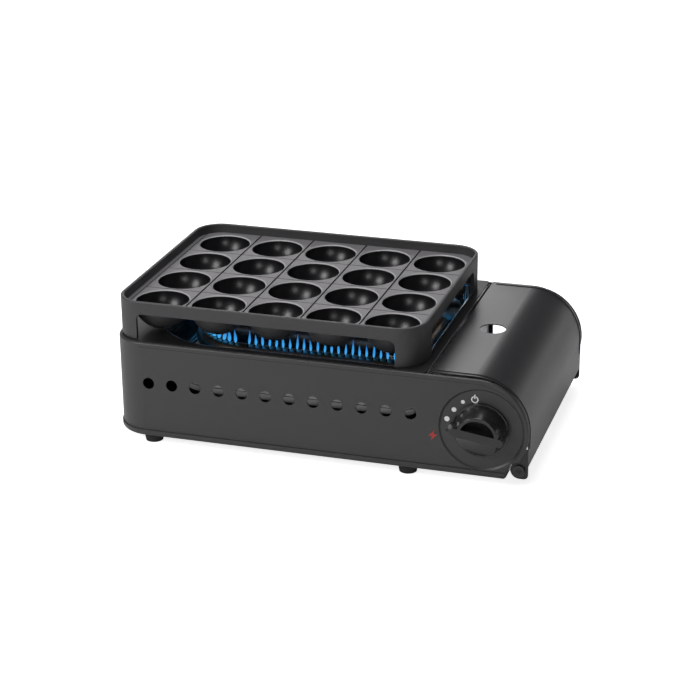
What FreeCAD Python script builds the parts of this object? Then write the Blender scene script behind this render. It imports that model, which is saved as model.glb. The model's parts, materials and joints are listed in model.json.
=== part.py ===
import FreeCAD, Part
import math
import os
import re
import Sketcher

# Table-top gas grill for takoyaki: a cast plate of cups over a burner box,
# with a gas canister bay on the right under a hinged sheet cover.
# Right-handed frame: X to the right, Y to the back, Z up, floor at Z = 0.

doc = FreeCAD.newDocument("takoyaki_grill")

# Driving dimensions in millimetres
SIZES = {
    # Cast plate
    "cup_pitch": 50,
    "cup_columns": 5,
    "cup_rows": 4,
    "cup_radius": 22.5,
    "cup_wall": 2,
    "cup_lip": 0.9,
    "deck_top": 117,
    "deck_thick": 2.6,
    "rim_height": 8,
    "rim_wall": 3,
    "rim_round": 1,
    "plate_margin": 7,
    "plate_corner": 24,
    "plate_seat": 0.3,
    "leg_front": 21,
    "leg_side": 35,
    "leg_wall": 3.2,
    "window_round": 6,
    "groove_wide": 1.6,
    "groove_narrow": 0.9,
    "groove_deep": 1.1,
    "groove_shallow": 0.6,
    # Case
    "sheet": 0.8,
    "case_gap": 2.5,
    "case_margin": 5,
    "case_corner": 29,
    "case_base": 7.5,
    "case_top": 91,
    "case_lip": 2.8,
    "case_roll": 1.6,
    "end_x": 179,
    "end_z": 48,
    "heel_x": 204.5,
    "heel_round": 2.5,
    "vent_radius": 5,
    "vent_count": 12,
    "vent_pitch": 20.5,
    "vent_first": -100.3,
    "vent_z": 55.5,
    "pan_wall": 5.5,
    "pan_fit": 0.2,
    "pan_round": 3,
    "floor_slot_half": 11,
    "floor_slot_near": 5,
    "floor_slot_far": 45,
    "rear_slot_left": 141,
    "rear_slot_right": 158,
    "rear_slot_low": 38,
    "rear_slot_high": 52,
    "rear_slot_round": 3,
    # Dial recess around the knob
    "dial_x": 183.5,
    "dial_z": 48.3,
    "dial_radius": 35,
    "dial_sink": 1.2,
    "dial_slope": 1.4,
    # Burner pan
    "well_left": -105.5,
    "well_right": 127.5,
    "well_half": 101.5,
    "well_floor": 46,
    "well_round_left": 60,
    "well_round_right": 15,
    "well_bend": 2.5,
    "well_foot": 8,
    "flange_overlap": 1.4,
    "stay_x": 50,
    "stay_half": 12.5,
    "stay_reach": 50,
    # Burner
    "tube_radius": 8,
    "tube_wall": 0.8,
    "tube_z": 66,
    "bar_offset": 50,
    "bar_left": -38,
    "bar_right": 104,
    "middle_bar_left": -68,
    "slot_pitch": 6.1,
    "slot_count": 22,
    "slot_width": 1.1,
    "slot_deep": 3,
    "slot_angle": 7,
    "slot_turns": 25,
    "feed_radius": 9,
    "mix_radius": 7,
    "mix_wall": 0.9,
    "mix_z": 32,
    "mix_y": 95,
    "mix_bend": 13,
    "mix_mouth": 146,
    "mouth_radius": 10,
    "mouth_long": 9,
    # Canister bay
    "partition_x": 138,
    "partition_foot": 10,
    "partition_fold": 6,
    "can_radius": 34,
    "can_clear": 0.6,
    "cradle_thick": 1.2,
    "cradle_width": 36,
    "cradle_front_y": -40,
    "cradle_rear_y": 70,
    "cradle_drop": 20.4,
    "cradle_tab": 10,
    "valve_radius": 16,
    "valve_long": 26,
    "nozzle_radius": 4,
    "nozzle_long": 9,
    "nozzle_tip": 2.2,
    "nozzle_bore": 0.8,
    "boss_radius": 6,
    "seat_radius": 26,
    "seat_long": 7,
    "seat_recess": 17,
    "seat_deep": 4,
    "seat_key": 6,
    "magnet_radius": 3,
    "magnet_long": 2.5,
    "magnet_place": 21.5,
    "mount_plate": 1.5,
    "mount_width": 46,
    "mount_height": 50,
    "piezo_radius": 5.5,
    "piezo_long": 22,
    "piezo_x": 16,
    "piezo_z": 18,
    "lead_radius": 1.2,
    "lead_bend": 6,
    "lead_z": 82,
    "lead_y": 60,
    "electrode_x": 112,
    "insulator_radius": 2.6,
    "insulator_long": 18,
    "electrode_radius": 0.8,
    "electrode_reach": 9,
    # Cover
    "cover_left": 141,
    "cover_proud": 1.5,
    "cover_tuck": 2,
    "cover_thick": 0.9,
    "cover_gap": 1,
    "cover_hem": 4,
    "cover_base": 19,
    "peep_x": 167,
    "peep_y": -4,
    "peep_radius": 11,
    "bead_in": 3,
    "bead_wide": 2.5,
    "bead_proud": 0.6,
    "hinge_x": 214.5,
    "hinge_z": 15.5,
    "ear_radius": 7.5,
    "ear_top": 34,
    "ear_reach": 9,
    "pin_radius": 2.5,
    "pin_clear": 0.06,
    "pin_head": 4.6,
    "head_thick": 2,
    "notch_radius": 8.5,
    "bracket_thick": 1.4,
    "bracket_gap": 0.3,
    "bracket_radius": 4.8,
    "bracket_foot": 14,
    "nut_radius": 4,
    "nut_thick": 3,
    # Knob
    "knob_base": 23,
    "knob_base_thick": 2,
    "knob_foot": 21.5,
    "knob_top": 16.8,
    "knob_height": 17,
    "knob_gap": 0.6,
    "bar_half": 3.5,
    "bar_reach": 25.3,
    "bar_end": 21.5,
    "scoop_radius": 14.4,
    "scoop_deep": 11,
    "knob_round": 0.8,
    "shaft_radius": 4,
    "shaft_in_knob": 5,
    "shaft_in_valve": 18,
    "shaft_clear": 0.06,
    "pointer_angle": 8,
    # Feet
    "foot_radius": 8.5,
    "foot_taper": 1.2,
    "foot_left": -102,
    "foot_right": 120.5,
    "foot_y": 100.5,
    "foot_screw": 2,
    "foot_screw_head": 4,
    "foot_recess": 3,
}

sheet = doc.addObject("Spreadsheet::Sheet", "Dims")
for row, (alias, value) in enumerate(SIZES.items(), start=1):
    sheet.set("A%d" % row, alias)
    sheet.set("B%d" % row, str(value))
    sheet.setAlias("B%d" % row, alias)
doc.recompute()

WORD = re.compile(r"\b(" + "|".join(sorted(SIZES, key=len, reverse=True)) + r")\b")
SUB_PARTS = []


def linked(text):
    """Write an expression over size names as one over the sheet's cells."""
    return WORD.sub(lambda match: "Dims." + match.group(0), text)


def size(text):
    """The present value of an expression over size names."""
    return float(sheet.evalExpression(linked(str(text))))


def bind(thing, prop, text):
    thing.setExpression(prop, linked(str(text)))


def half_x():
    return "(cup_columns * cup_pitch / 2 + plate_margin)"


def half_y():
    return "(cup_rows * cup_pitch / 2 + plate_margin)"


CASE_LEFT = "(-1 * %s - case_gap)" % half_x()
CASE_HALF = "(%s + case_margin)" % half_y()
END_RADIUS = "(case_top - end_z)"
SHELL_LOW = "(case_base + pan_round)"
FLOOR_TOP = "(case_base + sheet)"


def keep(thing, label):
    """Name a finished sub-part and list it for export."""
    thing.Label = label
    SUB_PARTS.append(thing)
    return thing


def new_body(label):
    return keep(doc.addObject("PartDesign::Body", label + "_body"), label)


def sketch(body, role, lift="0"):
    """An empty sketch on one of the body's origin planes, lifted along its normal."""
    drawing = body.newObject("Sketcher::SketchObject", body.Label + "_sketch")
    plane = next(item for item in body.Origin.OriginFeatures if item.Role == role)
    drawing.AttachmentSupport = [(plane, "")]
    drawing.MapMode = "FlatFace"
    bind(drawing, "AttachmentOffset.Base.z", lift)
    return drawing


def pin_point(drawing, edge, end, x, y):
    """Hold one point of a sketch at a pair of expressions."""
    for kind, text in (("DistanceX", x), ("DistanceY", y)):
        number = drawing.addConstraint(Sketcher.Constraint(kind, -1, 1, edge, end, size(text)))
        bind(drawing, "Constraints[%d]" % number, text)


def hold_radius(drawing, edge, text):
    number = drawing.addConstraint(Sketcher.Constraint("Radius", edge, size(text)))
    bind(drawing, "Constraints[%d]" % number, text)


def arc_between(start, end, radius, turn):
    """Minor arc from start to end. turn is 1 where it runs counter-clockwise."""
    chord = end - start
    reach = math.sqrt(max(radius * radius - chord.Length * chord.Length / 4, 0))
    side = FreeCAD.Vector(-chord.y, chord.x, 0).normalize() * (reach * turn)
    centre = (start + end) * 0.5 + side
    first, last = (start, end) if turn > 0 else (end, start)
    angles = [math.atan2(p.y - centre.y, p.x - centre.x) for p in (first, last)]
    circle = Part.Circle(centre, FreeCAD.Vector(0, 0, 1), radius)
    return Part.ArcOfCircle(circle, angles[0], angles[1])


def outline(drawing, corners):
    """A closed outline. A corner is (x, y), or (x, y, radius, turn) where an arc leaves it."""
    points = [FreeCAD.Vector(size(c[0]), size(c[1]), 0) for c in corners]
    spans = []
    for index, corner in enumerate(corners):
        start, end = points[index], points[(index + 1) % len(points)]
        if len(corner) == 4:
            edge = drawing.addGeometry(arc_between(start, end, size(corner[2]), corner[3]))
            spans.append((edge, 1, 2) if corner[3] > 0 else (edge, 2, 1))
        else:
            edge = drawing.addGeometry(Part.LineSegment(start, end))
            spans.append((edge, 1, 2))
    for index, (edge, head, tail) in enumerate(spans):
        after = spans[(index + 1) % len(spans)]
        drawing.addConstraint(Sketcher.Constraint("Coincident", edge, tail, after[0], after[1]))
        pin_point(drawing, edge, head, corners[index][0], corners[index][1])
        if len(corners[index]) == 4:
            hold_radius(drawing, edge, corners[index][2])


def circle(drawing, x, y, radius):
    centre = FreeCAD.Vector(size(x), size(y), 0)
    edge = drawing.addGeometry(Part.Circle(centre, FreeCAD.Vector(0, 0, 1), size(radius)))
    pin_point(drawing, edge, 3, x, y)
    hold_radius(drawing, edge, radius)


def rectangle(drawing, x0, x1, y0, y1):
    outline(drawing, [(x0, y0), (x1, y0), (x1, y1), (x0, y1)])


def rounded(drawing, x0, x1, y0, y1, left, right):
    """A rectangle with round corners: one radius for the left pair, one for the right."""
    outline(drawing, [
        ("%s + %s" % (x0, left), y0),
        ("%s - %s" % (x1, right), y0, right, 1),
        (x1, "%s + %s" % (y0, right)),
        (x1, "%s - %s" % (y1, right), right, 1),
        ("%s - %s" % (x1, right), y1),
        ("%s + %s" % (x0, left), y1, left, 1),
        (x0, "%s - %s" % (y1, left)),
        (x0, "%s + %s" % (y0, left), left, 1),
    ])


def pad(body, drawing, length, symmetric=False):
    feature = body.newObject("PartDesign::Pad", body.Label + "_pad")
    feature.Profile = drawing
    bind(feature, "Length", length)
    if symmetric:
        feature.SideType = "Symmetric"
    return feature


def pocket(body, drawing, length, symmetric=False, reverse=False):
    """Cut a sketch away and make sure that something was cut."""
    doc.recompute()
    before = body.Shape.Volume
    feature = body.newObject("PartDesign::Pocket", body.Label + "_pocket")
    feature.Profile = drawing
    bind(feature, "Length", length)
    feature.Reversed = reverse
    if symmetric:
        feature.SideType = "Symmetric"
    doc.recompute()
    if feature.Shape.Volume >= before:
        raise RuntimeError("a pocket of %s cuts nothing" % body.Label)
    return feature


def revolve(body, drawing, kind="Revolution"):
    """Turn a sketch about its own vertical axis."""
    feature = body.newObject("PartDesign::" + kind, body.Label + "_turned")
    feature.Profile = drawing
    feature.ReferenceAxis = (drawing, ["V_Axis"])
    feature.Angle = 360
    return feature


def edges_of(shape, test):
    return ["Edge%d" % (n + 1) for n, edge in enumerate(shape.Edges) if test(edge)]


def faces_of(shape, test):
    return ["Face%d" % (n + 1) for n, face in enumerate(shape.Faces) if test(face)]


def fillet(body, test, radius):
    """Round the edges of the body's tip that the test picks."""
    doc.recompute()
    base = body.Tip
    names = edges_of(base.Shape, test)
    if not names:
        raise RuntimeError("no edge of %s to round" % body.Label)
    feature = body.newObject("PartDesign::Fillet", body.Label + "_round")
    feature.Base = (base, names)
    bind(feature, "Radius", radius)
    doc.recompute()
    return feature


def thin(body, test, wall):
    """Turn the body into a sheet, open at the faces that the test picks."""
    doc.recompute()
    base = body.Tip
    feature = body.newObject("PartDesign::Thickness", body.Label + "_wall")
    feature.Base = (base, faces_of(base.Shape, test))
    bind(feature, "Value", wall)
    feature.Reversed = True
    doc.recompute()
    return feature


def flat_at(face, axis, value):
    """True for a plane face square to an axis at a given height on it."""
    box = face.BoundBox
    low = getattr(box, axis + "Min")
    high = getattr(box, axis + "Max")
    return high - low < 1e-4 and abs(low - value) < 1e-3


def edge_at(edge, axis, value):
    box = edge.BoundBox
    low = getattr(box, axis + "Min")
    high = getattr(box, axis + "Max")
    return high - low < 1e-4 and abs(low - value) < 1e-3


def place(thing, base, turn=None, prop="Placement"):
    """Bind a placement's base to three expressions, and turn it if asked."""
    if turn is not None:
        thing.Placement = FreeCAD.Placement(FreeCAD.Vector(), turn)
    for axis, text in zip("xyz", base):
        bind(thing, "%s.Base.%s" % (prop, axis), text)


def block(low, high):
    """A box between two corners of expressions."""
    thing = doc.addObject("Part::Box", "block")
    for prop, a, b in zip(("Length", "Width", "Height"), low, high):
        bind(thing, prop, "(%s) - (%s)" % (b, a))
    place(thing, low)
    return thing


ALONG_X = FreeCAD.Rotation(FreeCAD.Vector(0, 1, 0), 90)
ALONG_Y = FreeCAD.Rotation(FreeCAD.Vector(1, 0, 0), -90)
ALONG_Z = FreeCAD.Rotation()


def rod(base, radius, length, turn=ALONG_Z):
    thing = doc.addObject("Part::Cylinder", "rod")
    bind(thing, "Radius", radius)
    bind(thing, "Height", length)
    place(thing, base, turn)
    return thing


def cone(base, first, second, length, turn=ALONG_Z):
    thing = doc.addObject("Part::Cone", "cone")
    bind(thing, "Radius1", first)
    bind(thing, "Radius2", second)
    bind(thing, "Height", length)
    place(thing, base, turn)
    return thing


def joined(*things):
    whole = doc.addObject("Part::MultiFuse", "joined")
    whole.Shapes = list(things)
    whole.Refine = True
    return whole


def minus(base, *tools):
    tool = tools[0] if len(tools) == 1 else joined(*tools)
    whole = doc.addObject("Part::Cut", "minus")
    whole.Base = base
    whole.Tool = tool
    return whole


def route(points, bend):
    """A wire of straight runs joined by tangent arcs."""
    spots = [FreeCAD.Vector(*[size(value) for value in point]) for point in points]
    edges = []
    start = spots[0]
    for here, after in zip(spots[1:-1], spots[2:]):
        back = (start - here).normalize()
        ahead = (after - here).normalize()
        half = math.acos(max(-1, min(1, back.dot(ahead)))) / 2
        trim = bend / math.tan(half)
        first = here + back * trim
        last = here + ahead * trim
        middle = (back + ahead).normalize()
        top = here + middle * (bend / math.sin(half) - bend)
        edges.append(Part.LineSegment(start, first).toShape())
        edges.append(Part.Arc(first, top, last).toShape())
        start = last
    edges.append(Part.LineSegment(start, spots[-1]).toShape())
    return Part.Wire(edges)


def swept(wire, radius):
    first = wire.Edges[0]
    start = first.valueAt(first.FirstParameter)
    ring = Part.Circle(start, first.tangentAt(first.FirstParameter), radius).toShape()
    return wire.makePipeShell([Part.Wire([ring])], True, False)


def case_shell():
    """Front, left and back of the case: one bent sheet with a rolled upper edge."""
    body = new_body("case_shell")
    plan = sketch(body, "XY_Plane", SHELL_LOW)
    end = "(end_x + %s)" % END_RADIUS
    outline(plan, [
        (end, "%s * -1" % CASE_HALF),
        (end, CASE_HALF),
        ("%s + case_corner" % CASE_LEFT, CASE_HALF, "case_corner", 1),
        (CASE_LEFT, "%s - case_corner" % CASE_HALF),
        (CASE_LEFT, "case_corner - %s" % CASE_HALF, "case_corner", 1),
        ("%s + case_corner" % CASE_LEFT, "%s * -1" % CASE_HALF),
    ])
    pad(body, plan, "case_top - %s" % SHELL_LOW)
    trim = sketch(body, "XZ_Plane")
    heel = "(end_z - sqrt(%s ^ 2 - (heel_x - end_x) ^ 2))" % END_RADIUS
    far = "(end_x + 2 * %s)" % END_RADIUS
    outline(trim, [
        ("end_x", "case_top"),
        ("end_x", "case_top + sheet"),
        (far, "case_top + sheet"),
        (far, "0"),
        ("heel_x", "0"),
        ("heel_x", heel, END_RADIUS, 1),
        ("end_x + %s" % END_RADIUS, "end_z", END_RADIUS, 1),
    ])
    pocket(body, trim, "3 * %s" % CASE_HALF, symmetric=True)
    half = size(CASE_HALF)
    top = size("case_top")
    left = size(CASE_LEFT)
    radius = size(END_RADIUS)

    def rolled(edge):
        middle = edge.valueAt((edge.FirstParameter + edge.LastParameter) / 2)
        if edge_at(edge, "Z", top):
            return middle.x < size("end_x") - 1 or abs(abs(middle.y) - half) < 1e-3
        on_side = abs(abs(middle.y) - half) < 1e-3
        spread = math.hypot(middle.x - size("end_x"), middle.z - size("end_z"))
        return on_side and abs(spread - radius) < 1e-3
    fillet(body, rolled, "case_roll")
    thin(body, lambda face: flat_at(face, "Z", size(SHELL_LOW)), "sheet")
    opening = sketch(body, "XY_Plane", "case_top + sheet")
    inner = "(%s - case_lip)" % CASE_HALF
    lip_left = "(%s + case_lip)" % CASE_LEFT
    bend = "(case_corner - case_lip)"
    outline(opening, [
        (far, "%s * -1" % inner),
        (far, inner),
        ("%s + %s" % (lip_left, bend), inner, bend, 1),
        (lip_left, "%s - %s" % (inner, bend)),
        (lip_left, "%s - %s" % (bend, inner), bend, 1),
        ("%s + %s" % (lip_left, bend), "%s * -1" % inner),
    ])
    pocket(body, opening, "case_top + 2 * sheet")
    holes = sketch(body, "XZ_Plane")
    circle(holes, "vent_first", "vent_z", "vent_radius")
    vents = pocket(body, holes, "3 * %s" % CASE_HALF, symmetric=True)
    row = body.newObject("PartDesign::LinearPattern", "case_vents")
    row.Originals = [vents]
    row.Direction = (holes, ["H_Axis"])
    row.Mode = "Spacing"
    bind(row, "Offset", "vent_pitch")
    bind(row, "Occurrences", "vent_count")
    body.Tip = row
    doc.recompute()
    rear = sketch(body, "XZ_Plane", "case_lip - %s" % CASE_HALF)
    rounded(rear, "rear_slot_left", "rear_slot_right", "rear_slot_low", "rear_slot_high",
            "rear_slot_round", "rear_slot_round")
    pocket(body, rear, "case_lip + sheet")
    notch = sketch(body, "XZ_Plane")
    circle(notch, "hinge_x", "hinge_z", "notch_radius")
    pocket(body, notch, "3 * %s" % CASE_HALF, symmetric=True)
    dial_hole = sketch(body, "XZ_Plane", "%s + sheet" % CASE_HALF)
    circle(dial_hole, "dial_x", "dial_z", "dial_radius")
    pocket(body, dial_hole, "case_lip + sheet")
    dish = sketch(body, "XY_Plane")
    bind(dish, "AttachmentOffset.Base.x", "dial_x")
    bind(dish, "AttachmentOffset.Base.z", "dial_z")
    face = "(dial_sink - %s)" % CASE_HALF
    inner_rim = "(dial_radius - dial_slope)"
    outline(dish, [
        ("shaft_radius + sheet", face),
        (inner_rim, face),
        ("dial_radius", "%s * -1" % CASE_HALF),
        ("dial_radius + sheet", "%s * -1" % CASE_HALF),
        ("dial_radius + sheet", "sheet - %s" % CASE_HALF),
        ("%s + sheet" % inner_rim, "%s + sheet" % face),
        ("shaft_radius + sheet", "%s + sheet" % face),
    ])
    revolve(body, dish)


def base_pan():
    """Pressed floor whose low wall wraps the foot of the case."""
    body = new_body("base_pan")
    grow = "(sheet + pan_fit)"
    left = "(%s - %s)" % (CASE_LEFT, grow)
    half = "(%s + %s)" % (CASE_HALF, grow)
    corner = "(case_corner + %s)" % grow
    plan = sketch(body, "XY_Plane", "case_base")
    rounded(plan, left, "heel_x", "%s * -1" % half, half, corner, "heel_round")
    pad(body, plan, "pan_wall")
    low = size("case_base")
    fillet(body, lambda edge: edge_at(edge, "Z", low), "pan_round")
    top = size("case_base + pan_wall")
    thin(body, lambda face: flat_at(face, "Z", top), "sheet")
    slots = sketch(body, "XY_Plane", "case_base + pan_wall")
    for x in ("foot_left", "foot_right"):
        for y in ("foot_y * -1", "foot_y"):
            circle(slots, x, y, "foot_screw + pan_fit")
    for column in (-1, 0, 1):
        x = "(%d * cup_pitch)" % column
        rounded(slots, "%s - floor_slot_half" % x, "%s + floor_slot_half" % x,
                "floor_slot_near", "floor_slot_far", "vent_radius", "vent_radius")
    pocket(body, slots, "2 * pan_wall")
    gates = sketch(body, "XY_Plane", "case_base + pan_wall")
    for near, away in (("(%s - sheet - pan_fit)" % CASE_HALF, "(%s + pan_fit)" % CASE_HALF),
                       ("(-1 * %s - pan_fit)" % CASE_HALF, "(sheet + pan_fit - %s)" % CASE_HALF)):
        rectangle(gates, "heel_x - pan_round", "heel_x + sheet", near, away)
    pocket(body, gates, "case_base + pan_wall + pan_fit - %s" % SHELL_LOW)


def burner_pan():
    """Bright pressed liner: a flange on the case lip and a deep well around the burner."""
    body = new_body("burner_pan")
    top = "(case_top + sheet)"
    low = "(well_floor - sheet)"
    reach = "(case_lip - flange_overlap)"
    left = "(%s + %s)" % (CASE_LEFT, reach)
    half = "(%s - %s)" % (CASE_HALF, reach)
    plan = sketch(body, "XY_Plane", low)
    right = "(partition_x - sheet)"
    rounded(plan, left, right, "%s * -1" % half, half, "(case_corner - %s)" % reach, "heel_round")
    pad(body, plan, "%s - %s" % (top, low))
    well = sketch(body, "XY_Plane", top)
    rounded(well, "well_left", "well_right", "well_half * -1", "well_half",
            "well_round_left", "well_round_right")
    pocket(body, well, "%s - well_floor" % top)
    floor = size("well_floor")
    fillet(body, lambda edge: edge_at(edge, "Z", floor), "well_foot")
    rim = size(top)
    bounds = (size("well_left") - 1, size("well_right") + 1)

    def well_mouth(edge):
        box = edge.BoundBox
        inside = box.XMin > bounds[0] and box.XMax < bounds[1]
        return edge_at(edge, "Z", rim) and inside and box.YMax < size("well_half") + 1
    fillet(body, well_mouth, "well_bend")
    under = size(low)
    sides = (size(left), size(right), size(half))

    def outside(face):
        if flat_at(face, "Z", under):
            return True
        box = face.BoundBox
        if flat_at(face, "Z", rim) or box.ZMax < rim - 1 or box.ZMin > under + 1:
            return False
        edge_x = box.XMin < sides[0] + 1 or box.XMax > sides[1] - 1
        return edge_x or abs(box.YMin) > sides[2] - 1 or abs(box.YMax) > sides[2] - 1
    thin(body, outside, "sheet")
    hole = sketch(body, "XY_Plane", "well_floor + sheet")
    circle(hole, "bar_right", "0", "mix_radius + 2 * sheet")
    pocket(body, hole, "3 * sheet")
    wire = sketch(body, "YZ_Plane", "well_right - sheet")
    circle(wire, "lead_y * -1", "lead_z", "insulator_radius + pan_fit")
    pocket(body, wire, "4 * sheet", reverse=True)


def takoyaki_plate():
    """Cast plate: hemispherical cups in a grooved deck, a rim and four corner legs."""
    body = new_body("takoyaki_plate")
    leg_end = "(case_top + sheet + plate_seat)"
    rim_top = "(deck_top + rim_height)"
    deck_low = "(deck_top - deck_thick)"
    wide, deep = half_x(), half_y()
    plan = sketch(body, "XY_Plane", leg_end)
    rounded(plan, "%s * -1" % wide, wide, "%s * -1" % deep, deep, "plate_corner", "plate_corner")
    pad(body, plan, "%s - %s" % (rim_top, leg_end))
    for wall, plane, depth, back in (("rim_wall", rim_top, "rim_height", False),
                                     ("leg_wall", leg_end, "%s - %s" % (deck_low, leg_end), True)):
        hollow = sketch(body, "XY_Plane", plane)
        x1 = "(%s - %s)" % (wide, wall)
        y1 = "(%s - %s)" % (deep, wall)
        bend = "(plate_corner - %s)" % wall
        rounded(hollow, "%s * -1" % x1, x1, "%s * -1" % y1, y1, bend, bend)
        pocket(body, hollow, depth, reverse=back)
    for role, span, leg in (("XZ_Plane", wide, "leg_front"), ("YZ_Plane", deep, "leg_side")):
        window = sketch(body, role)
        edge = "(%s - %s)" % (span, leg)
        outline(window, [
            ("%s * -1" % edge, "%s - sheet" % leg_end),
            (edge, "%s - sheet" % leg_end),
            (edge, "%s - window_round" % deck_low, "window_round", 1),
            ("%s - window_round" % edge, deck_low),
            ("window_round - %s" % edge, deck_low, "window_round", 1),
            ("%s * -1" % edge, "%s - window_round" % deck_low),
        ])
        pocket(body, window, "4 * %s" % wide, symmetric=True)
    first_x = "((1 - cup_columns) * cup_pitch / 2)"
    outer = "(cup_radius + cup_wall)"
    for row in range(int(size("cup_rows"))):
        lift = "((cup_rows - 1) * cup_pitch / 2 - %d * cup_pitch)" % row
        shell = sketch(body, "XZ_Plane", lift)
        bind(shell, "AttachmentOffset.Base.x", first_x)
        outline(shell, [
            ("0", "deck_top"),
            ("0", "deck_top - %s" % outer, outer, 1),
            (outer, "deck_top"),
        ])
        bump = revolve(body, shell)
        hollow = sketch(body, "XZ_Plane", lift)
        bind(hollow, "AttachmentOffset.Base.x", first_x)
        outline(hollow, [
            ("0", "deck_top + rim_height"),
            ("0", "deck_top - cup_radius", "cup_radius", 1),
            ("sqrt(cup_radius ^ 2 - cup_lip ^ 2)", "deck_top - cup_lip"),
            ("cup_radius + cup_lip", "deck_top"),
            ("cup_radius + cup_lip", "deck_top + rim_height"),
        ])
        scoop = revolve(body, hollow, "Groove")
        doc.recompute()
        line = body.newObject("PartDesign::LinearPattern", "cup_row")
        line.Originals = [bump, scoop]
        line.Direction = (shell, ["H_Axis"])
        line.Mode = "Spacing"
        bind(line, "Offset", "cup_pitch")
        bind(line, "Occurrences", "cup_columns")
        body.Tip = line
        doc.recompute()
    lanes = int(size("cup_columns"))
    rows = int(size("cup_rows"))
    wide_cut = sketch(body, "XY_Plane", "deck_top")
    for lane in range(1, lanes):
        x = "(%d * cup_pitch - cup_columns * cup_pitch / 2)" % lane
        rectangle(wide_cut, "%s - groove_wide / 2" % x, "%s + groove_wide / 2" % x,
                  "rim_wall - %s" % deep, "%s - rim_wall" % deep)
    pocket(body, wide_cut, "groove_deep")
    edge = "(cup_columns * cup_pitch / 2)"
    fine_cut = sketch(body, "XY_Plane", "deck_top")
    for row in range(1, rows):
        y = "(%d * cup_pitch - cup_rows * cup_pitch / 2)" % row
        rectangle(fine_cut, "%s * -1 - groove_narrow / 2" % edge, "%s + groove_narrow / 2" % edge,
                  "%s - groove_narrow / 2" % y, "%s + groove_narrow / 2" % y)
    pocket(body, fine_cut, "groove_shallow")
    side_cut = sketch(body, "XY_Plane", "deck_top")
    for side in ("%s * -1" % edge, edge):
        rectangle(side_cut, "%s - groove_narrow / 2" % side, "%s + groove_narrow / 2" % side,
                  "rim_wall - %s" % deep, "%s - rim_wall" % deep)
    pocket(body, side_cut, "groove_shallow")
    crest = size(rim_top)
    fillet(body, lambda item: edge_at(item, "Z", crest), "rim_round")


def burner_run(radius, wall, feed):
    """The burner's tube: hairpin, middle bar and feed, at one pair of radii."""
    end = "(bar_offset + feed_radius - %s)" % wall
    long = "bar_right - bar_left"
    runs = [rod(("bar_left", "%d * bar_offset" % side, "tube_z"), radius, long, ALONG_X)
            for side in (-1, 1)]
    start = "(middle_bar_left + %s)" % wall
    runs.append(rod((start, "0", "tube_z"), radius, "bar_right - %s" % start, ALONG_X))
    runs.append(rod(("bar_right", "%s * -1" % end, "tube_z"), feed, "2 * %s" % end, ALONG_Y))
    turn = doc.addObject("Part::Torus", "burner_turn")
    bind(turn, "Radius1", "bar_offset")
    bind(turn, "Radius2", radius)
    turn.Angle3 = 180
    place(turn, ("bar_left", "0", "tube_z"), FreeCAD.Rotation(FreeCAD.Vector(0, 0, 1), 90))
    return joined(*runs, turn)


def burner():
    """Hairpin burner tube and middle bar with sawn flame slots, on a feed tube at the right."""
    outer = burner_run("tube_radius", "0", "feed_radius")
    inner = burner_run("tube_radius - tube_wall", "tube_wall", "feed_radius - tube_wall")
    neck = rod(("bar_right", "0", "tube_z - feed_radius - sheet"), "mix_radius + pan_fit",
               "feed_radius")
    crest = "(tube_z + tube_radius - slot_deep)"
    cuts = []
    for number in range(int(size("slot_count"))):
        x = "(bar_right - feed_radius - %d * slot_pitch)" % number
        for bar in (-1, 0, 1):
            y = "(%d * bar_offset)" % bar
            cuts.append(block(("%s - slot_width" % x, "%s - tube_radius / 2" % y, crest),
                              (x, "%s + tube_radius / 2" % y, "tube_z + 2 * tube_radius")))
    for number in range(int(size("slot_turns"))):
        angle = 90 + (number + 0.5) * size("slot_angle")
        cut = doc.addObject("Part::Box", "turn_slot")
        bind(cut, "Length", "tube_radius")
        bind(cut, "Width", "slot_width")
        bind(cut, "Height", "2 * tube_radius")
        spin = FreeCAD.Rotation(FreeCAD.Vector(0, 0, 1), angle)
        near = size("bar_offset - tube_radius / 2")
        corner = spin.multVec(FreeCAD.Vector(near, -size("slot_width") / 2, 0))
        cut.Placement = FreeCAD.Placement(corner + FreeCAD.Vector(size("bar_left"), 0, size(crest)), spin)
        cuts.append(cut)
    slots = doc.addObject("Part::Compound", "burner_slots")
    slots.Links = cuts
    keep(minus(minus(outer, inner, neck), slots), "burner")


def mixing_tube():
    """Bell mouth at the gas nozzle and the tube that carries gas and air to the burner."""
    bend = size("mix_bend")
    end_z = size("tube_z - feed_radius + 2 * tube_wall")
    points = [("mix_mouth", "mix_y * -1", "mix_z"), ("bar_right", "mix_y * -1", "mix_z"),
              ("bar_right", "0", "mix_z"), ("bar_right", "0", str(end_z))]
    wire = route(points, bend)
    outer = swept(wire, size("mix_radius"))
    inner = swept(wire, size("mix_radius - mix_wall"))
    mouth_x = size("mix_mouth")
    axis = FreeCAD.Vector(1, 0, 0)
    base = FreeCAD.Vector(mouth_x, -size("mix_y"), size("mix_z"))
    bell = Part.makeCone(size("mix_radius"), size("mouth_radius"), size("mouth_long"), base, axis)
    bore = Part.makeCone(size("mix_radius - mix_wall"), size("mouth_radius - mix_wall"),
                         size("mouth_long"), base, axis)
    shape = outer.fuse(bell).cut(inner.fuse(bore)).removeSplitter()
    piece = doc.addObject("Part::Feature", "mixing_tube_piece")
    piece.Shape = shape
    piece.Placement = FreeCAD.Placement()
    keep(piece, "mixing_tube")


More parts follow.
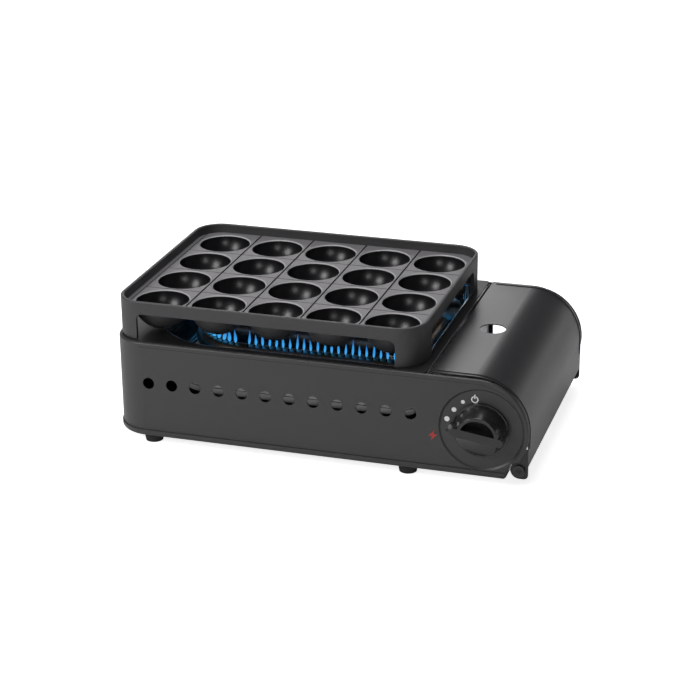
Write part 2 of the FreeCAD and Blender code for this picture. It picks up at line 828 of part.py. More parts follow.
def partition():
    """Heat wall between the burner and the canister, folded at foot and head."""
    inner = "(%s - pan_round)" % CASE_HALF
    left = "(partition_x - sheet)"
    wall = block((left, "%s * -1" % inner, FLOOR_TOP), ("partition_x", inner, "case_top - sheet"))
    head = block(("partition_x - partition_fold", "well_bend - well_half", "case_top - sheet"),
                 ("partition_x", "well_half - well_bend", "case_top"))
    foot = block((left, "%s * -1" % inner, FLOOR_TOP),
                 ("partition_x + partition_foot", inner, "%s + sheet" % FLOOR_TOP))
    mix = rod(("%s - sheet" % left, "mix_y * -1", "mix_z"), "mix_radius + 2 * pan_fit",
              "3 * sheet", ALONG_X)
    lead = rod(("%s - sheet" % left, "lead_y * -1", "lead_z"), "lead_radius + 2 * pan_fit",
               "3 * sheet", ALONG_X)
    keep(minus(joined(wall, head, foot), mix, lead), "partition")


def valve_parts():
    """Gas valve with its mounting plate, canister seat, magnets and nozzle."""
    face = "(dial_sink + sheet + pan_fit - %s)" % CASE_HALF
    plate_end = "(%s + mount_plate)" % face
    valve_end = "(%s + valve_long)" % plate_end
    seat_end = "(%s + seat_long)" % valve_end
    bore = "(shaft_radius + shaft_clear)"
    plate = block(("dial_x - mount_width / 2", face, "dial_z - mount_height / 2"),
                  ("dial_x + mount_width / 2", plate_end, "dial_z + mount_height / 2"))
    hole = rod(("dial_x", "%s - sheet" % face, "dial_z"), "shaft_radius + sheet",
               "mount_plate + 2 * sheet", ALONG_Y)
    keep(minus(plate, hole), "valve_mount_plate")
    drum = rod(("dial_x", plate_end, "dial_z"), "valve_radius", "valve_long", ALONG_Y)
    boss_x = "(mix_mouth + mouth_long + nozzle_long)"
    boss = rod((boss_x, "mix_y * -1", "mix_z"), "boss_radius", "dial_x - %s" % boss_x, ALONG_X)
    shaft_hole = rod(("dial_x", plate_end, "dial_z"), bore, "shaft_in_valve", ALONG_Y)
    gas_way = rod((boss_x, "mix_y * -1", "mix_z"), "nozzle_radius / 2", "boss_radius", ALONG_X)
    keep(minus(joined(drum, boss), shaft_hole, gas_way), "gas_valve")
    body = rod(("%s - nozzle_long + nozzle_tip" % boss_x, "mix_y * -1", "mix_z"), "nozzle_radius",
               "nozzle_long - nozzle_tip", ALONG_X)
    tip = cone(("%s - nozzle_long" % boss_x, "mix_y * -1", "mix_z"), "nozzle_tip / 2", "nozzle_tip",
               "nozzle_tip", ALONG_X)
    jet = rod(("%s - nozzle_long - sheet" % boss_x, "mix_y * -1", "mix_z"), "nozzle_bore",
              "nozzle_long + 2 * sheet", ALONG_X)
    keep(minus(joined(body, tip), jet), "gas_nozzle")
    ring = rod(("dial_x", valve_end, "dial_z"), "seat_radius", "seat_long", ALONG_Y)
    key_low = "dial_z + seat_recess + seat_key / 3"
    key_high = "dial_z + seat_radius - seat_key / 3"
    key = block(("dial_x - seat_key / 2", seat_end, key_low),
                ("dial_x + seat_key / 2", "%s + seat_key / 2" % seat_end, key_high))
    recess = rod(("dial_x", "%s - seat_deep" % seat_end, "dial_z"), "seat_recess",
                 "2 * seat_deep", ALONG_Y)
    stem = rod(("dial_x", "%s - sheet" % valve_end, "dial_z"), "nozzle_radius",
               "2 * seat_long", ALONG_Y)
    pockets = []
    magnets = []
    for side in (-1, 1):
        spot = ("dial_x + %d * magnet_place" % side, "%s - magnet_long" % seat_end, "dial_z")
        pockets.append(rod(spot, "magnet_radius + pan_fit / 4", "2 * magnet_long", ALONG_Y))
        magnets.append(rod(spot, "magnet_radius", "magnet_long", ALONG_Y))
    keep(minus(joined(ring, key), recess, stem, *pockets), "canister_seat")
    keep(joined(*magnets), "seat_magnets")
    piezo_x = "(dial_x + piezo_x)"
    piezo_z = "(dial_z + piezo_z)"
    keep(rod((piezo_x, plate_end, piezo_z), "piezo_radius", "piezo_long", ALONG_Y), "piezo_igniter")
    near_y = "(%s + valve_long / 3)" % plate_end
    lead_points = [
        (piezo_x, near_y, "%s + piezo_radius" % piezo_z),
        (piezo_x, near_y, "lead_z"),
        ("partition_x + partition_foot", near_y, "lead_z"),
        ("partition_x + partition_foot", "lead_y * -1", "lead_z"),
        ("electrode_x + insulator_long", "lead_y * -1", "lead_z"),
    ]
    wire = doc.addObject("Part::Feature", "igniter_lead_piece")
    wire.Shape = swept(route(lead_points, size("lead_bend")), size("lead_radius"))
    wire.Placement = FreeCAD.Placement()
    keep(wire, "igniter_lead")


def electrode():
    """Ceramic sleeve through the pan wall and the spark wire beside the front flame row."""
    sleeve = rod(("electrode_x", "lead_y * -1", "lead_z"), "insulator_radius", "insulator_long", ALONG_X)
    core = rod(("electrode_x", "lead_y * -1", "lead_z"), "electrode_radius", "insulator_long", ALONG_X)
    keep(minus(sleeve, core), "electrode_insulator")
    reach = rod(("electrode_x - electrode_reach", "lead_y * -1", "lead_z"), "electrode_radius",
                "electrode_reach + insulator_long", ALONG_X)
    hook_low = "(tube_z + feed_radius + 2 * sheet)"
    hook = rod(("electrode_x - electrode_reach", "lead_y * -1", hook_low), "electrode_radius",
               "lead_z - %s + electrode_radius" % hook_low)
    keep(joined(reach, hook), "spark_electrode")


def cradles():
    """Two sheet saddles that carry the canister, each with a fixing tab."""
    half = "(cradle_width / 2)"
    top = "(dial_z - cradle_drop)"
    for label, y in (("canister_cradle_front", "cradle_front_y"),
                     ("canister_cradle_rear", "cradle_rear_y")):
        web = block(("dial_x - %s" % half, y, FLOOR_TOP),
                    ("dial_x + %s" % half, "%s + cradle_thick" % y, top))
        tab = block(("dial_x - %s / 2" % half, y, FLOOR_TOP),
                    ("dial_x + %s / 2" % half, "%s + cradle_tab" % y, "%s + cradle_thick" % FLOOR_TOP))
        dish = rod(("dial_x", "%s - cradle_tab" % y, "dial_z"), "can_radius + can_clear",
                   "3 * cradle_tab", ALONG_Y)
        keep(minus(joined(web, tab), dish), label)


def pan_stays():
    """Sheet bridges between the floor and the burner pan."""
    low = FLOOR_TOP
    high = "(well_floor - sheet)"
    for label, x in (("pan_stay_left", "stay_x * -1"), ("pan_stay_right", "stay_x")):
        left = "(%s - stay_half)" % x
        right = "(%s + stay_half)" % x
        outer = block((left, "stay_reach * -1", low), (right, "stay_reach", high))
        inner = block(("%s - sheet" % left, "sheet - stay_reach", "%s - sheet" % low),
                      ("%s + sheet" % right, "stay_reach - sheet", "%s - sheet" % high))
        feet = []
        for near, away in (("stay_reach", "stay_reach + cradle_tab"),
                           ("-1 * stay_reach - cradle_tab", "-1 * stay_reach")):
            feet.append(block((left, near, low), (right, away, "%s + sheet" % low)))
        keep(joined(minus(outer, inner), *feet), label)


def burner_brackets():
    """Saddle strips that hold the burner bars above the pan floor."""
    low = "well_floor"
    span = "(bar_offset + tube_radius)"
    for label, x in (("burner_bracket_left", "bar_left"),
                     ("burner_bracket_right", "bar_right - 3 * feed_radius")):
        web = block((x, "%s * -1" % span, low), ("%s + cradle_thick" % x, span, "tube_z"))
        foot = block((x, "%s * -1" % span, low),
                     ("%s + cradle_tab" % x, span, "%s + cradle_thick" % low))
        cuts = []
        for bar in ("bar_offset * -1", "0", "bar_offset"):
            cuts.append(rod(("%s - cradle_tab" % x, bar, "tube_z"), "tube_radius + pan_fit / 4",
                            "3 * cradle_tab", ALONG_X))
        for lane in (-1, 1):
            y = "(%d * bar_offset / 2)" % lane
            cuts.append(block(
                ("%s - sheet" % x, "%s - tube_radius" % y, "%s + 2 * cradle_thick" % low),
                ("%s + cradle_tab + sheet" % x, "%s + tube_radius" % y, "tube_z + sheet")))
        keep(minus(joined(web, foot), *cuts), label)


def canister_cover():
    """Bent sheet over the canister bay, hinged low on its right side."""
    body = new_body("canister_cover")
    middle = "(end_x - cover_tuck)"
    outer = "(%s + cover_proud)" % END_RADIUS
    inner = "(%s - cover_thick)" % outer
    top = "(end_z + %s)" % outer
    under = "(%s - cover_thick)" % top
    length = "(2 * (%s - case_lip - cover_gap))" % CASE_HALF
    bend = sketch(body, "XZ_Plane")
    outline(bend, [
        ("cover_left", "%s - cover_hem" % top),
        ("cover_left + cover_thick", "%s - cover_hem" % top),
        ("cover_left + cover_thick", under),
        (middle, under, inner, -1),
        ("%s + %s" % (middle, inner), "end_z"),
        ("%s + %s" % (middle, inner), "cover_base"),
        ("%s + %s" % (middle, outer), "cover_base"),
        ("%s + %s" % (middle, outer), "end_z", outer, 1),
        (middle, top),
        ("cover_left", top),
    ])
    pad(body, bend, length, symmetric=True)
    proud = "(%s + bead_proud)" % outer
    crest = "(%s + bead_proud)" % top
    wall = "(%s + %s)" % (middle, outer)
    for side in (-1, 1):
        lift = "(%d * (%s / 2 - bead_in - bead_wide / 2) - bead_wide / 2)" % (side, length)
        bead = sketch(body, "XZ_Plane", lift)
        outline(bead, [
            ("cover_left + cover_hem", top),
            (middle, top, outer, -1),
            (wall, "end_z"),
            (wall, "ear_top"),
            ("%s + bead_proud" % wall, "ear_top"),
            ("%s + bead_proud" % wall, "end_z", proud, 1),
            (middle, crest),
            ("cover_left + cover_hem", crest),
        ])
        pad(body, bead, "bead_wide")
    for side in (-1, 1):
        lift = "(%d * %s / 2 - (%d + 1) * cover_thick / 2)" % (side, length, side)
        ear = sketch(body, "XZ_Plane", lift)
        outline(ear, [
            ("hinge_x", "hinge_z - ear_radius"),
            ("%s - ear_radius / 2" % wall, "hinge_z - ear_radius", "ear_radius / 2", 1),
            (wall, "hinge_z - ear_radius / 2"),
            (wall, "ear_top"),
            ("%s - ear_reach" % wall, "ear_top"),
            ("hinge_x - ear_radius", "hinge_z", "ear_radius", 1),
        ])
        pad(body, ear, "cover_thick")
    bores = sketch(body, "XZ_Plane")
    circle(bores, "hinge_x", "hinge_z", "pin_radius + pin_clear")
    pocket(body, bores, "2 * %s" % length, symmetric=True)
    peep = sketch(body, "XY_Plane", "%s + sheet" % top)
    circle(peep, "peep_x", "peep_y", "peep_radius")
    pocket(body, peep, "cover_hem")


def across(side, near, away):
    """Two distances from the middle as the low and the high Y on one side."""
    pair = ("(%d * %s)" % (side, near), "(%d * %s)" % (side, away))
    return pair if side > 0 else (pair[1], pair[0])


def spindle(span, radius):
    """A rod on the hinge line between a low and a high Y."""
    return rod(("hinge_x", span[0], "hinge_z"), radius, "%s - %s" % (span[1], span[0]), ALONG_Y)


def hinges():
    """Bracket, shoulder screw and nut at each end of the cover."""
    cover_end = "(%s - case_lip - cover_gap)" % CASE_HALF
    outside = "(%s - cover_thick - bracket_gap)" % cover_end
    inside = "(%s - bracket_thick)" % outside
    head_in = "(%s + bracket_gap)" % cover_end
    tail = "(%s - nut_thick)" % inside
    back = "(heel_x - bracket_foot)"
    front = "(heel_x - 4 * sheet)"
    top = "(hinge_z + bracket_radius)"
    for name, side in (("front", -1), ("rear", 1)):
        strip = across(side, inside, outside)
        disc = spindle(strip, "bracket_radius")
        arm = block((back, strip[0], "case_base + pan_wall + sheet"), ("hinge_x", strip[1], top))
        leg = block((back, strip[0], FLOOR_TOP), (front, strip[1], top))
        base = across(side, "(%s - bracket_foot)" % outside, outside)
        foot = block((back, base[0], FLOOR_TOP),
                     (front, base[1], "%s + bracket_thick" % FLOOR_TOP))
        bore = spindle(across(side, "(%s - sheet)" % inside, "(%s + sheet)" % outside), "pin_radius")
        keep(minus(joined(disc, arm, leg, foot), bore), "hinge_bracket_" + name)
        shank = spindle(across(side, tail, head_in), "pin_radius")
        head = spindle(across(side, head_in, "(%s + head_thick)" % head_in), "pin_head")
        keep(joined(shank, head), "hinge_screw_" + name)
        nut = spindle(across(side, tail, inside), "nut_radius")
        hole = spindle(across(side, "(%s - sheet)" % tail, "(%s + sheet)" % inside), "pin_radius")
        keep(minus(nut, hole), "hinge_nut_" + name)


def knob():
    """Round knob: a grip bar with a pointer, a scooped upper half and a sloping lower half."""
    body = new_body("knob")
    base = sketch(body, "XY_Plane")
    circle(base, "0", "0", "knob_base")
    pad(body, base, "knob_base_thick")
    drum = sketch(body, "XZ_Plane")
    outline(drum, [
        ("0", "0"),
        ("knob_foot", "0"),
        ("knob_foot", "knob_base_thick"),
        ("knob_top", "knob_height"),
        ("0", "knob_height"),
    ])
    revolve(body, drum)
    crest = size("knob_height")
    fillet(body, lambda edge: edge_at(edge, "Z", crest), "knob_round")
    scoop = sketch(body, "XY_Plane", "knob_height")
    reach = "sqrt(scoop_radius ^ 2 - bar_half ^ 2)"
    outline(scoop, [
        ("%s * -1" % reach, "bar_half"),
        (reach, "bar_half", "scoop_radius", 1),
        ("0", "scoop_radius", "scoop_radius", 1),
    ])
    pocket(body, scoop, "scoop_deep")
    ramp = sketch(body, "YZ_Plane")
    outline(ramp, [
        ("bar_half * -1", "knob_height + sheet"),
        ("bar_half * -1", "knob_height"),
        ("knob_base * -1", "knob_base_thick"),
        ("knob_base * -1", "knob_height + sheet"),
    ])
    pocket(body, ramp, "4 * knob_base", symmetric=True)
    grip = sketch(body, "XY_Plane")
    tip = "(bar_reach - 2 * bar_half)"
    end = "(bar_end - bar_half)"
    outline(grip, [
        ("bar_reach * -1", "0"),
        ("%s * -1" % tip, "bar_half * -1"),
        (end, "bar_half * -1", "bar_half", 1),
        ("bar_end", "0", "bar_half", 1),
        (end, "bar_half"),
        ("%s * -1" % tip, "bar_half"),
    ])
    pad(body, grip, "knob_height")
    bore = sketch(body, "XY_Plane", "knob_base_thick * -1")
    circle(bore, "0", "0", "shaft_radius")
    pocket(body, bore, "knob_base_thick + shaft_in_knob", reverse=True)
    face = "(knob_gap - dial_sink + %s)" % CASE_HALF
    tilt = FreeCAD.Rotation(FreeCAD.Vector(1, 0, 0), 90)
    spin = FreeCAD.Rotation(FreeCAD.Vector(0, 0, 1), -size("pointer_angle"))
    place(body, ("dial_x", "%s * -1" % face, "dial_z"), tilt.multiply(spin))
    start = "(-1 * %s - shaft_in_knob)" % face
    stop = "(dial_sink + sheet + mount_plate + shaft_in_valve - %s)" % CASE_HALF
    shaft = rod(("dial_x", start, "dial_z"), "shaft_radius", "%s - %s" % (stop, start), ALONG_Y)
    keep(shaft, "knob_shaft")


def feet():
    """Rubber feet with sunk screws."""
    screws = []
    for side_x, x in (("left", "foot_left"), ("right", "foot_right")):
        for side_y, y in (("front", "foot_y * -1"), ("rear", "foot_y")):
            pad_shape = cone((x, y, "0"), "foot_radius - foot_taper", "foot_radius", "case_base")
            recess = rod((x, y, "sheet * -1"), "foot_screw_head + sheet", "foot_recess + sheet")
            hole = rod((x, y, "0"), "foot_screw + pan_fit", "case_base + sheet")
            keep(minus(pad_shape, recess, hole), "foot_%s_%s" % (side_y, side_x))
            shank = rod((x, y, "foot_recess - sheet"), "foot_screw", "case_base - foot_recess + 3 * sheet")
            head = rod((x, y, "foot_recess - 2 * sheet"), "foot_screw_head", "2 * sheet")
            screws.append(joined(shank, head))
    keep(joined(*screws), "foot_screws")


case_shell()
base_pan()
burner_pan()
takoyaki_plate()
burner()
mixing_tube()
partition()
valve_parts()
electrode()
cradles()
pan_stays()
burner_brackets()
canister_cover()
hinges()
knob()
feet()
doc.recompute()

# A failed feature stops the build before anything is written
for item in doc.Objects:
    if "Invalid" in item.State or "Error" in item.State:
        raise RuntimeError("failed feature: %s of %s" % (item.Name, item.Label))
for piece in SUB_PARTS:
    if piece.Shape.isNull() or not piece.Shape.isValid():
        raise RuntimeError("bad shape: " + piece.Label)

# The origin is the middle of the footprint, at the level of the feet
whole = FreeCAD.BoundBox()
for piece in SUB_PARTS:
    whole.add(piece.Shape.optimalBoundingBox(False))
shift = FreeCAD.Vector(-whole.Center.x, -whole.Center.y, 0)
print("shift", round(shift.x, 4), round(shift.y, 4), "box", whole)
os.makedirs("parts", exist_ok=True)
for piece in SUB_PARTS:
    shape = piece.Shape.copy()
    shape.translate(shift)
    shape.exportStep("parts/%s.step" % piece.Label)
print(len(SUB_PARTS), "parts")
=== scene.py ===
"""Studio picture of a table-top gas grill for takoyaki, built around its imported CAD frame."""

import json
import logging
import math
from dataclasses import dataclass
from enum import Enum
from typing import Callable, Iterable, Optional, Sequence, Union

import bmesh
import bpy
from mathutils import Matrix, Vector

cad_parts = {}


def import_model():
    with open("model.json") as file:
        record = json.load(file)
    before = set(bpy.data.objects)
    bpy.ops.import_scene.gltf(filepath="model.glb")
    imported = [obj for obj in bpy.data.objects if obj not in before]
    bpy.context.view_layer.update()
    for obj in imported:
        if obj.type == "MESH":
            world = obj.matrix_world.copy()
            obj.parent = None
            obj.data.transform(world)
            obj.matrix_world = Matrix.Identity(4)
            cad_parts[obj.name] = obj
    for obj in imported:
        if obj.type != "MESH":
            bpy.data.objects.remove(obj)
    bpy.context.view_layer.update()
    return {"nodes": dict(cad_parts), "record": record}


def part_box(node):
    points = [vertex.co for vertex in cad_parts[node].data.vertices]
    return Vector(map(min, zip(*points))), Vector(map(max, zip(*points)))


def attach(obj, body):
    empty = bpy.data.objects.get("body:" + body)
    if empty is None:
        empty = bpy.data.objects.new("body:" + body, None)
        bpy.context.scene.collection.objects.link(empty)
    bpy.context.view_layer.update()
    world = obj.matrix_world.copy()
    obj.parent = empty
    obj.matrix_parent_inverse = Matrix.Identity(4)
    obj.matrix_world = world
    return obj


LOG = logging.getLogger("takoyaki_grill")
MM = 0.001
FLAME_HEIGHT = 14 * MM

Color = tuple[float, float, float]
Point = tuple[float, float, float]
Input = Union[float, Sequence[float], bpy.types.NodeSocket]

WHITE: Color = (1.0, 1.0, 1.0)


class Body(str, Enum):
    """Rigid bodies that the further pieces ride on."""

    CASE = "case"


class Slot(str, Enum):
    """Material slots of the record."""

    CAST = "cast_iron"
    FRONT = "painted_front"
    COVER = "painted_cover"
    BRIGHT = "bright_pan"
    TUBE = "tube_steel"
    ZINC = "zinc_steel"
    VALVE = "valve_metal"
    BRASS = "brass_jet"
    MAGNET = "magnet"
    IGNITER = "igniter_plastic"
    LEAD = "lead_rubber"
    CERAMIC = "ceramic"
    KNOB = "knob_plastic"
    FOOT = "foot_rubber"
    SCREW = "screw_steel"


class Graph:
    """A node tree with short calls for adding and joining nodes."""

    def __init__(self, tree: bpy.types.NodeTree) -> None:
        """Hold a tree.

        Args:
            tree: The tree that gets the nodes.
        """
        self.tree = tree

    def add(
        self, kind: str, inputs: Optional[dict[Union[str, int], Input]] = None, **props: object
    ) -> bpy.types.Node:
        """Add one node.

        Args:
            kind: Node type name.
            inputs: Values or sockets by input name or number.
            props: Properties set on the node itself.

        Returns:
            The new node.
        """
        node = self.tree.nodes.new(kind)
        for name, value in props.items():
            setattr(node, name, value)
        for key, value in (inputs or {}).items():
            self.feed(node.inputs[key], value)
        return node

    def feed(self, socket: bpy.types.NodeSocket, value: Input) -> None:
        """Link a socket into an input, or set the input's value.

        Args:
            socket: The input.
            value: A socket or a constant.
        """
        if isinstance(value, bpy.types.NodeSocket):
            self.tree.links.new(value, socket)
        else:
            socket.default_value = value

    def math(
        self, operation: str, first: Input, second: Input = 0.0, third: Input = 0.0
    ) -> bpy.types.NodeSocket:
        """One scalar operation.

        Args:
            operation: Math node operation.
            first: First operand.
            second: Second operand.
            third: Third operand.

        Returns:
            The result socket.
        """
        node = self.add("ShaderNodeMath", {0: first, 1: second, 2: third}, operation=operation)
        return node.outputs[0]

    def band(self, value: Input, low: float, high: float, soft: float) -> bpy.types.NodeSocket:
        """Mask that is 1 between two limits and fades over a soft width.

        Args:
            value: Scalar to test.
            low: Lower limit.
            high: Upper limit.
            soft: Width of the fade.

        Returns:
            The mask socket.
        """
        rise = self.step(value, low, soft)
        fall = self.step(value, high, soft)
        return self.math("SUBTRACT", rise, fall)

    def step(self, value: Input, limit: float, soft: float) -> bpy.types.NodeSocket:
        """Mask that rises from 0 to 1 around a limit.

        Args:
            value: Scalar to test.
            limit: Middle of the rise.
            soft: Width of the rise.

        Returns:
            The mask socket.
        """
        ranges = {"From Min": limit - soft / 2, "From Max": limit + soft / 2, "Value": value}
        node = self.add("ShaderNodeMapRange", ranges, interpolation_type="SMOOTHSTEP")
        return node.outputs[0]

    def minus(self, place: Input, origin: Input) -> bpy.types.NodeSocket:
        """Subtract one vector from another.

        Args:
            place: The vector.
            origin: What is taken from it.

        Returns:
            The difference.
        """
        node = self.add("ShaderNodeVectorMath", {0: place, 1: origin}, operation="SUBTRACT")
        return node.outputs[0]

    def scaled(self, color: Input, factor: Input) -> bpy.types.NodeSocket:
        """Multiply a colour by a factor.

        Args:
            color: The colour.
            factor: The factor.

        Returns:
            The scaled colour.
        """
        node = self.add("ShaderNodeVectorMath", {0: color, "Scale": factor}, operation="SCALE")
        return node.outputs[0]

    def object_place(self) -> bpy.types.NodeSocket:
        """Coordinates in the object's own frame.

        Returns:
            The coordinate socket.
        """
        return self.add("ShaderNodeTexCoord").outputs["Object"]

    def true_normal(self) -> bpy.types.NodeSocket:
        """The surface's normal.

        Returns:
            The normal socket.
        """
        return self.add("ShaderNodeNewGeometry").outputs["Normal"]

    def axis(self, vector: Input, name: str) -> bpy.types.NodeSocket:
        """One component of a vector.

        Args:
            vector: The vector.
            name: X, Y or Z.

        Returns:
            The component.
        """
        return self.add("ShaderNodeSeparateXYZ", {0: vector}).outputs[name]

    def noise(self, place: Input, scale: Input, detail: float) -> bpy.types.NodeSocket:
        """Cloudy noise.

        Args:
            place: Coordinates.
            scale: How fine it is.
            detail: Octaves.

        Returns:
            The noise value.
        """
        return self.add("ShaderNodeTexNoise", {"Vector": place, "Scale": scale, "Detail": detail}).outputs[0]

    def mix(self, factor: Input, first: Input, second: Input) -> bpy.types.NodeSocket:
        """Blend two colours.

        Args:
            factor: 0 gives the first, 1 the second.
            first: First colour.
            second: Second colour.

        Returns:
            The blended colour.
        """
        node = self.add("ShaderNodeMix", data_type="RGBA")
        self.feed(node.inputs[0], factor)
        self.feed(node.inputs[6], rgba(first))
        self.feed(node.inputs[7], rgba(second))
        return node.outputs[2]


def rgba(color: Input) -> Input:
    """Give a plain colour its alpha.

    Args:
        color: Three numbers, or a socket, which is returned as it is.

    Returns:
        Four numbers, or the socket.
    """
    if isinstance(color, bpy.types.NodeSocket) or len(color) == 4:
        return color
    return (*color, 1.0)


class GroupLibrary:
    """Shader groups that the finishes share. Each is built once.

    A cloud is a noise's scale and octaves, and a step or band its limits and soft width. Heights are
    measured from the plate's deck or the pan's flange.
    """

    GRAIN_OCTAVES = 3.0
    GRAIN_RELIEF = 0.2 * MM
    BLOTCH_CLOUD = (18.0, 2.0)
    BLOTCH_SHARE = 0.6
    ROUGH_SWING = 0.12
    RUB_SAMPLES = 4
    RUB_GAIN = 4.0
    RUB_CLOUD = (90.0, 4.0)
    RUB_STEP = (0.5, 0.3)
    DUST_CLOUD = (35.0, 5.0)
    DUST_STEP = (0.55, 0.4)
    DUST_SLOPE = (0.75, 0.5)
    CUP_EDGE = (0.0, 0.3 * MM)
    CUP_TOP = -0.3 * MM
    CUP_SLOPE = 0.03
    # Band and lowest height of the painted highlight round the cup mouths.
    MOUTH_HIGHLIGHT_BAND = (-0.4 * MM, 0.8 * MM, 0.4 * MM)
    MOUTH_HIGHLIGHT_LOW = (-1.2 * MM, 0.2 * MM)
    DECK_BAND = (-0.4 * MM, 0.4 * MM, 0.2 * MM)
    FLANGE_EDGE = (2.9 * MM, 0.3 * MM)
    FLANGE_LOW = -1.2 * MM
    BACK_TOP = -3.6 * MM
    BACK_SKIN = 0.4 * MM
    BACK_SLOPE = -0.01
    # Height band of the painted shade line along the bend of the pan's wall.
    BEND_SHADE_BAND = (-38.4 * MM, -37.7 * MM, 0.2 * MM)

    def __init__(self) -> None:
        """Start with no groups."""
        self.built: dict[str, bpy.types.NodeTree] = {}

    def get(self, name: str) -> bpy.types.NodeTree:
        """Find a group, building it at its first use.

        Args:
            name: Group name: Grain, Wear, Dust, CupField or PanField.

        Returns:
            The node group.
        """
        if name not in self.built:
            makers: dict[str, Callable[[], bpy.types.NodeTree]] = {
                "Grain": self.grain,
                "Wear": self.wear,
                "Dust": self.dust,
                "CupField": self.cup_field,
                "PanField": self.pan_field,
            }
            self.built[name] = makers[name]()
        return self.built[name]

    @staticmethod
    def blank(
        name: str, inputs: Sequence[str], outputs: Sequence[str], vectors: Sequence[str] = ()
    ) -> tuple[Graph, bpy.types.Node, bpy.types.Node]:
        """Make an empty group with named sockets.

        Args:
            name: Group name.
            inputs: Names of the inputs.
            outputs: Names of the outputs.
            vectors: Names of the sockets that carry a vector; the others carry one number.

        Returns:
            The graph, its input node and its output node.
        """
        tree = bpy.data.node_groups.new(name, "ShaderNodeTree")
        for direction, sockets in (("INPUT", inputs), ("OUTPUT", outputs)):
            for label in sockets:
                kind = "NodeSocketVector" if label in vectors else "NodeSocketFloat"
                tree.interface.new_socket(name=label, in_out=direction, socket_type=kind)
        graph = Graph(tree)
        return graph, graph.add("NodeGroupInput"), graph.add("NodeGroupOutput")

    def grain(self) -> bpy.types.NodeTree:
        """Fine speckle of a cast, blasted or painted skin.

        Returns:
            Group with Scale, Depth, Rough and Spread in; Shade, Roughness and Normal out.
        """
        graph, given, made = self.blank(
            "Grain", ("Scale", "Depth", "Rough", "Spread"), ("Shade", "Roughness", "Normal"), ("Normal",)
        )
        place = graph.object_place()
        fine = graph.noise(place, given.outputs["Scale"], self.GRAIN_OCTAVES)
        level = graph.math("SUBTRACT", fine, 0.5)
        cloud = graph.math("SUBTRACT", graph.noise(place, *self.BLOTCH_CLOUD), 0.5)
        both = graph.math("MULTIPLY_ADD", cloud, self.BLOTCH_SHARE, level)
        shade = graph.math("MULTIPLY_ADD", both, given.outputs["Spread"], 1.0)
        rough = graph.math("MULTIPLY_ADD", both, self.ROUGH_SWING, given.outputs["Rough"])
        relief = {"Strength": given.outputs["Depth"], "Distance": self.GRAIN_RELIEF, "Height": fine}
        bump = graph.add("ShaderNodeBump", relief)
        graph.feed(made.inputs["Shade"], shade)
        graph.feed(made.inputs["Roughness"], rough)
        graph.feed(made.inputs["Normal"], bump.outputs[0])
        return graph.tree

    def wear(self) -> bpy.types.NodeTree:
        """Rubbed edges, found where a bevelled normal leaves the true one.

        Returns:
            Group with Radius and Amount in; Mask out.
        """
        graph, given, made = self.blank("Wear", ("Radius", "Amount"), ("Mask",))
        soft = graph.add("ShaderNodeBevel", {"Radius": given.outputs["Radius"]}, samples=self.RUB_SAMPLES)
        normals = {0: soft.outputs[0], 1: graph.true_normal()}
        dot = graph.add("ShaderNodeVectorMath", normals, operation="DOT_PRODUCT").outputs["Value"]
        edge = graph.math("SUBTRACT", 1.0, dot)
        broken = graph.step(graph.noise(graph.object_place(), *self.RUB_CLOUD), *self.RUB_STEP)
        worn = graph.math("MULTIPLY", graph.math("MULTIPLY", edge, self.RUB_GAIN), broken)
        level = graph.math("MULTIPLY", worn, given.outputs["Amount"])
        graph.feed(made.inputs["Mask"], graph.math("MINIMUM", level, 1.0))
        return graph.tree

    def dust(self) -> bpy.types.NodeTree:
        """Thin dust on faces that look up.

        Returns:
            Group with Amount in; Mask out.
        """
        graph, given, made = self.blank("Dust", ("Amount",), ("Mask",))
        up = graph.axis(graph.true_normal(), "Z")
        patch = graph.noise(graph.object_place(), *self.DUST_CLOUD)
        level = graph.math("MULTIPLY", graph.step(up, *self.DUST_SLOPE), graph.step(patch, *self.DUST_STEP))
        graph.feed(made.inputs["Mask"], graph.math("MULTIPLY", level, given.outputs["Amount"]))
        return graph.tree

    def cup_field(self) -> bpy.types.NodeTree:
        """Masks of a plate with rows of cups: cups, the painted highlight on the mouth rings, deck and rim.

        Returns:
            Group with Centre, Pitch, Mouth, Half X and Half Y in; Cup, Ring and Deck out, Ring being the
            painted highlight on the mouth rings.
        """
        graph, given, made = self.blank(
            "CupField", ("Centre", "Pitch", "Mouth", "Half X", "Half Y"), ("Cup", "Mouth Highlight", "Deck"), ("Centre",)
        )
        local = graph.minus(graph.object_place(), given.outputs["Centre"])
        axes = graph.add("ShaderNodeSeparateXYZ", {0: local}).outputs
        pitch = given.outputs["Pitch"]
        half = graph.math("MULTIPLY", pitch, 0.5)
        column = graph.math("PINGPONG", axes["X"], half)
        lane = graph.math("PINGPONG", graph.math("ADD", axes["Y"], half), half)
        squares = [graph.math("POWER", value, 2.0) for value in (column, lane)]
        spread = graph.math("SQRT", graph.math("ADD", *squares))
        inside_x = graph.math("LESS_THAN", graph.math("ABSOLUTE", axes["X"]), given.outputs["Half X"])
        inside_y = graph.math("LESS_THAN", graph.math("ABSOLUTE", axes["Y"]), given.outputs["Half Y"])
        field_mask = graph.math("MULTIPLY", inside_x, inside_y)
        excess = graph.math("SUBTRACT", spread, given.outputs["Mouth"])
        near = graph.math("SUBTRACT", 1.0, graph.step(excess, *self.CUP_EDGE))
        below = graph.math("LESS_THAN", axes["Z"], self.CUP_TOP)
        open_top = graph.math("MULTIPLY", near, field_mask)
        up = graph.math("GREATER_THAN", graph.axis(graph.true_normal(), "Z"), self.CUP_SLOPE)
        cup = graph.math("MULTIPLY", graph.math("MULTIPLY", open_top, below), up)
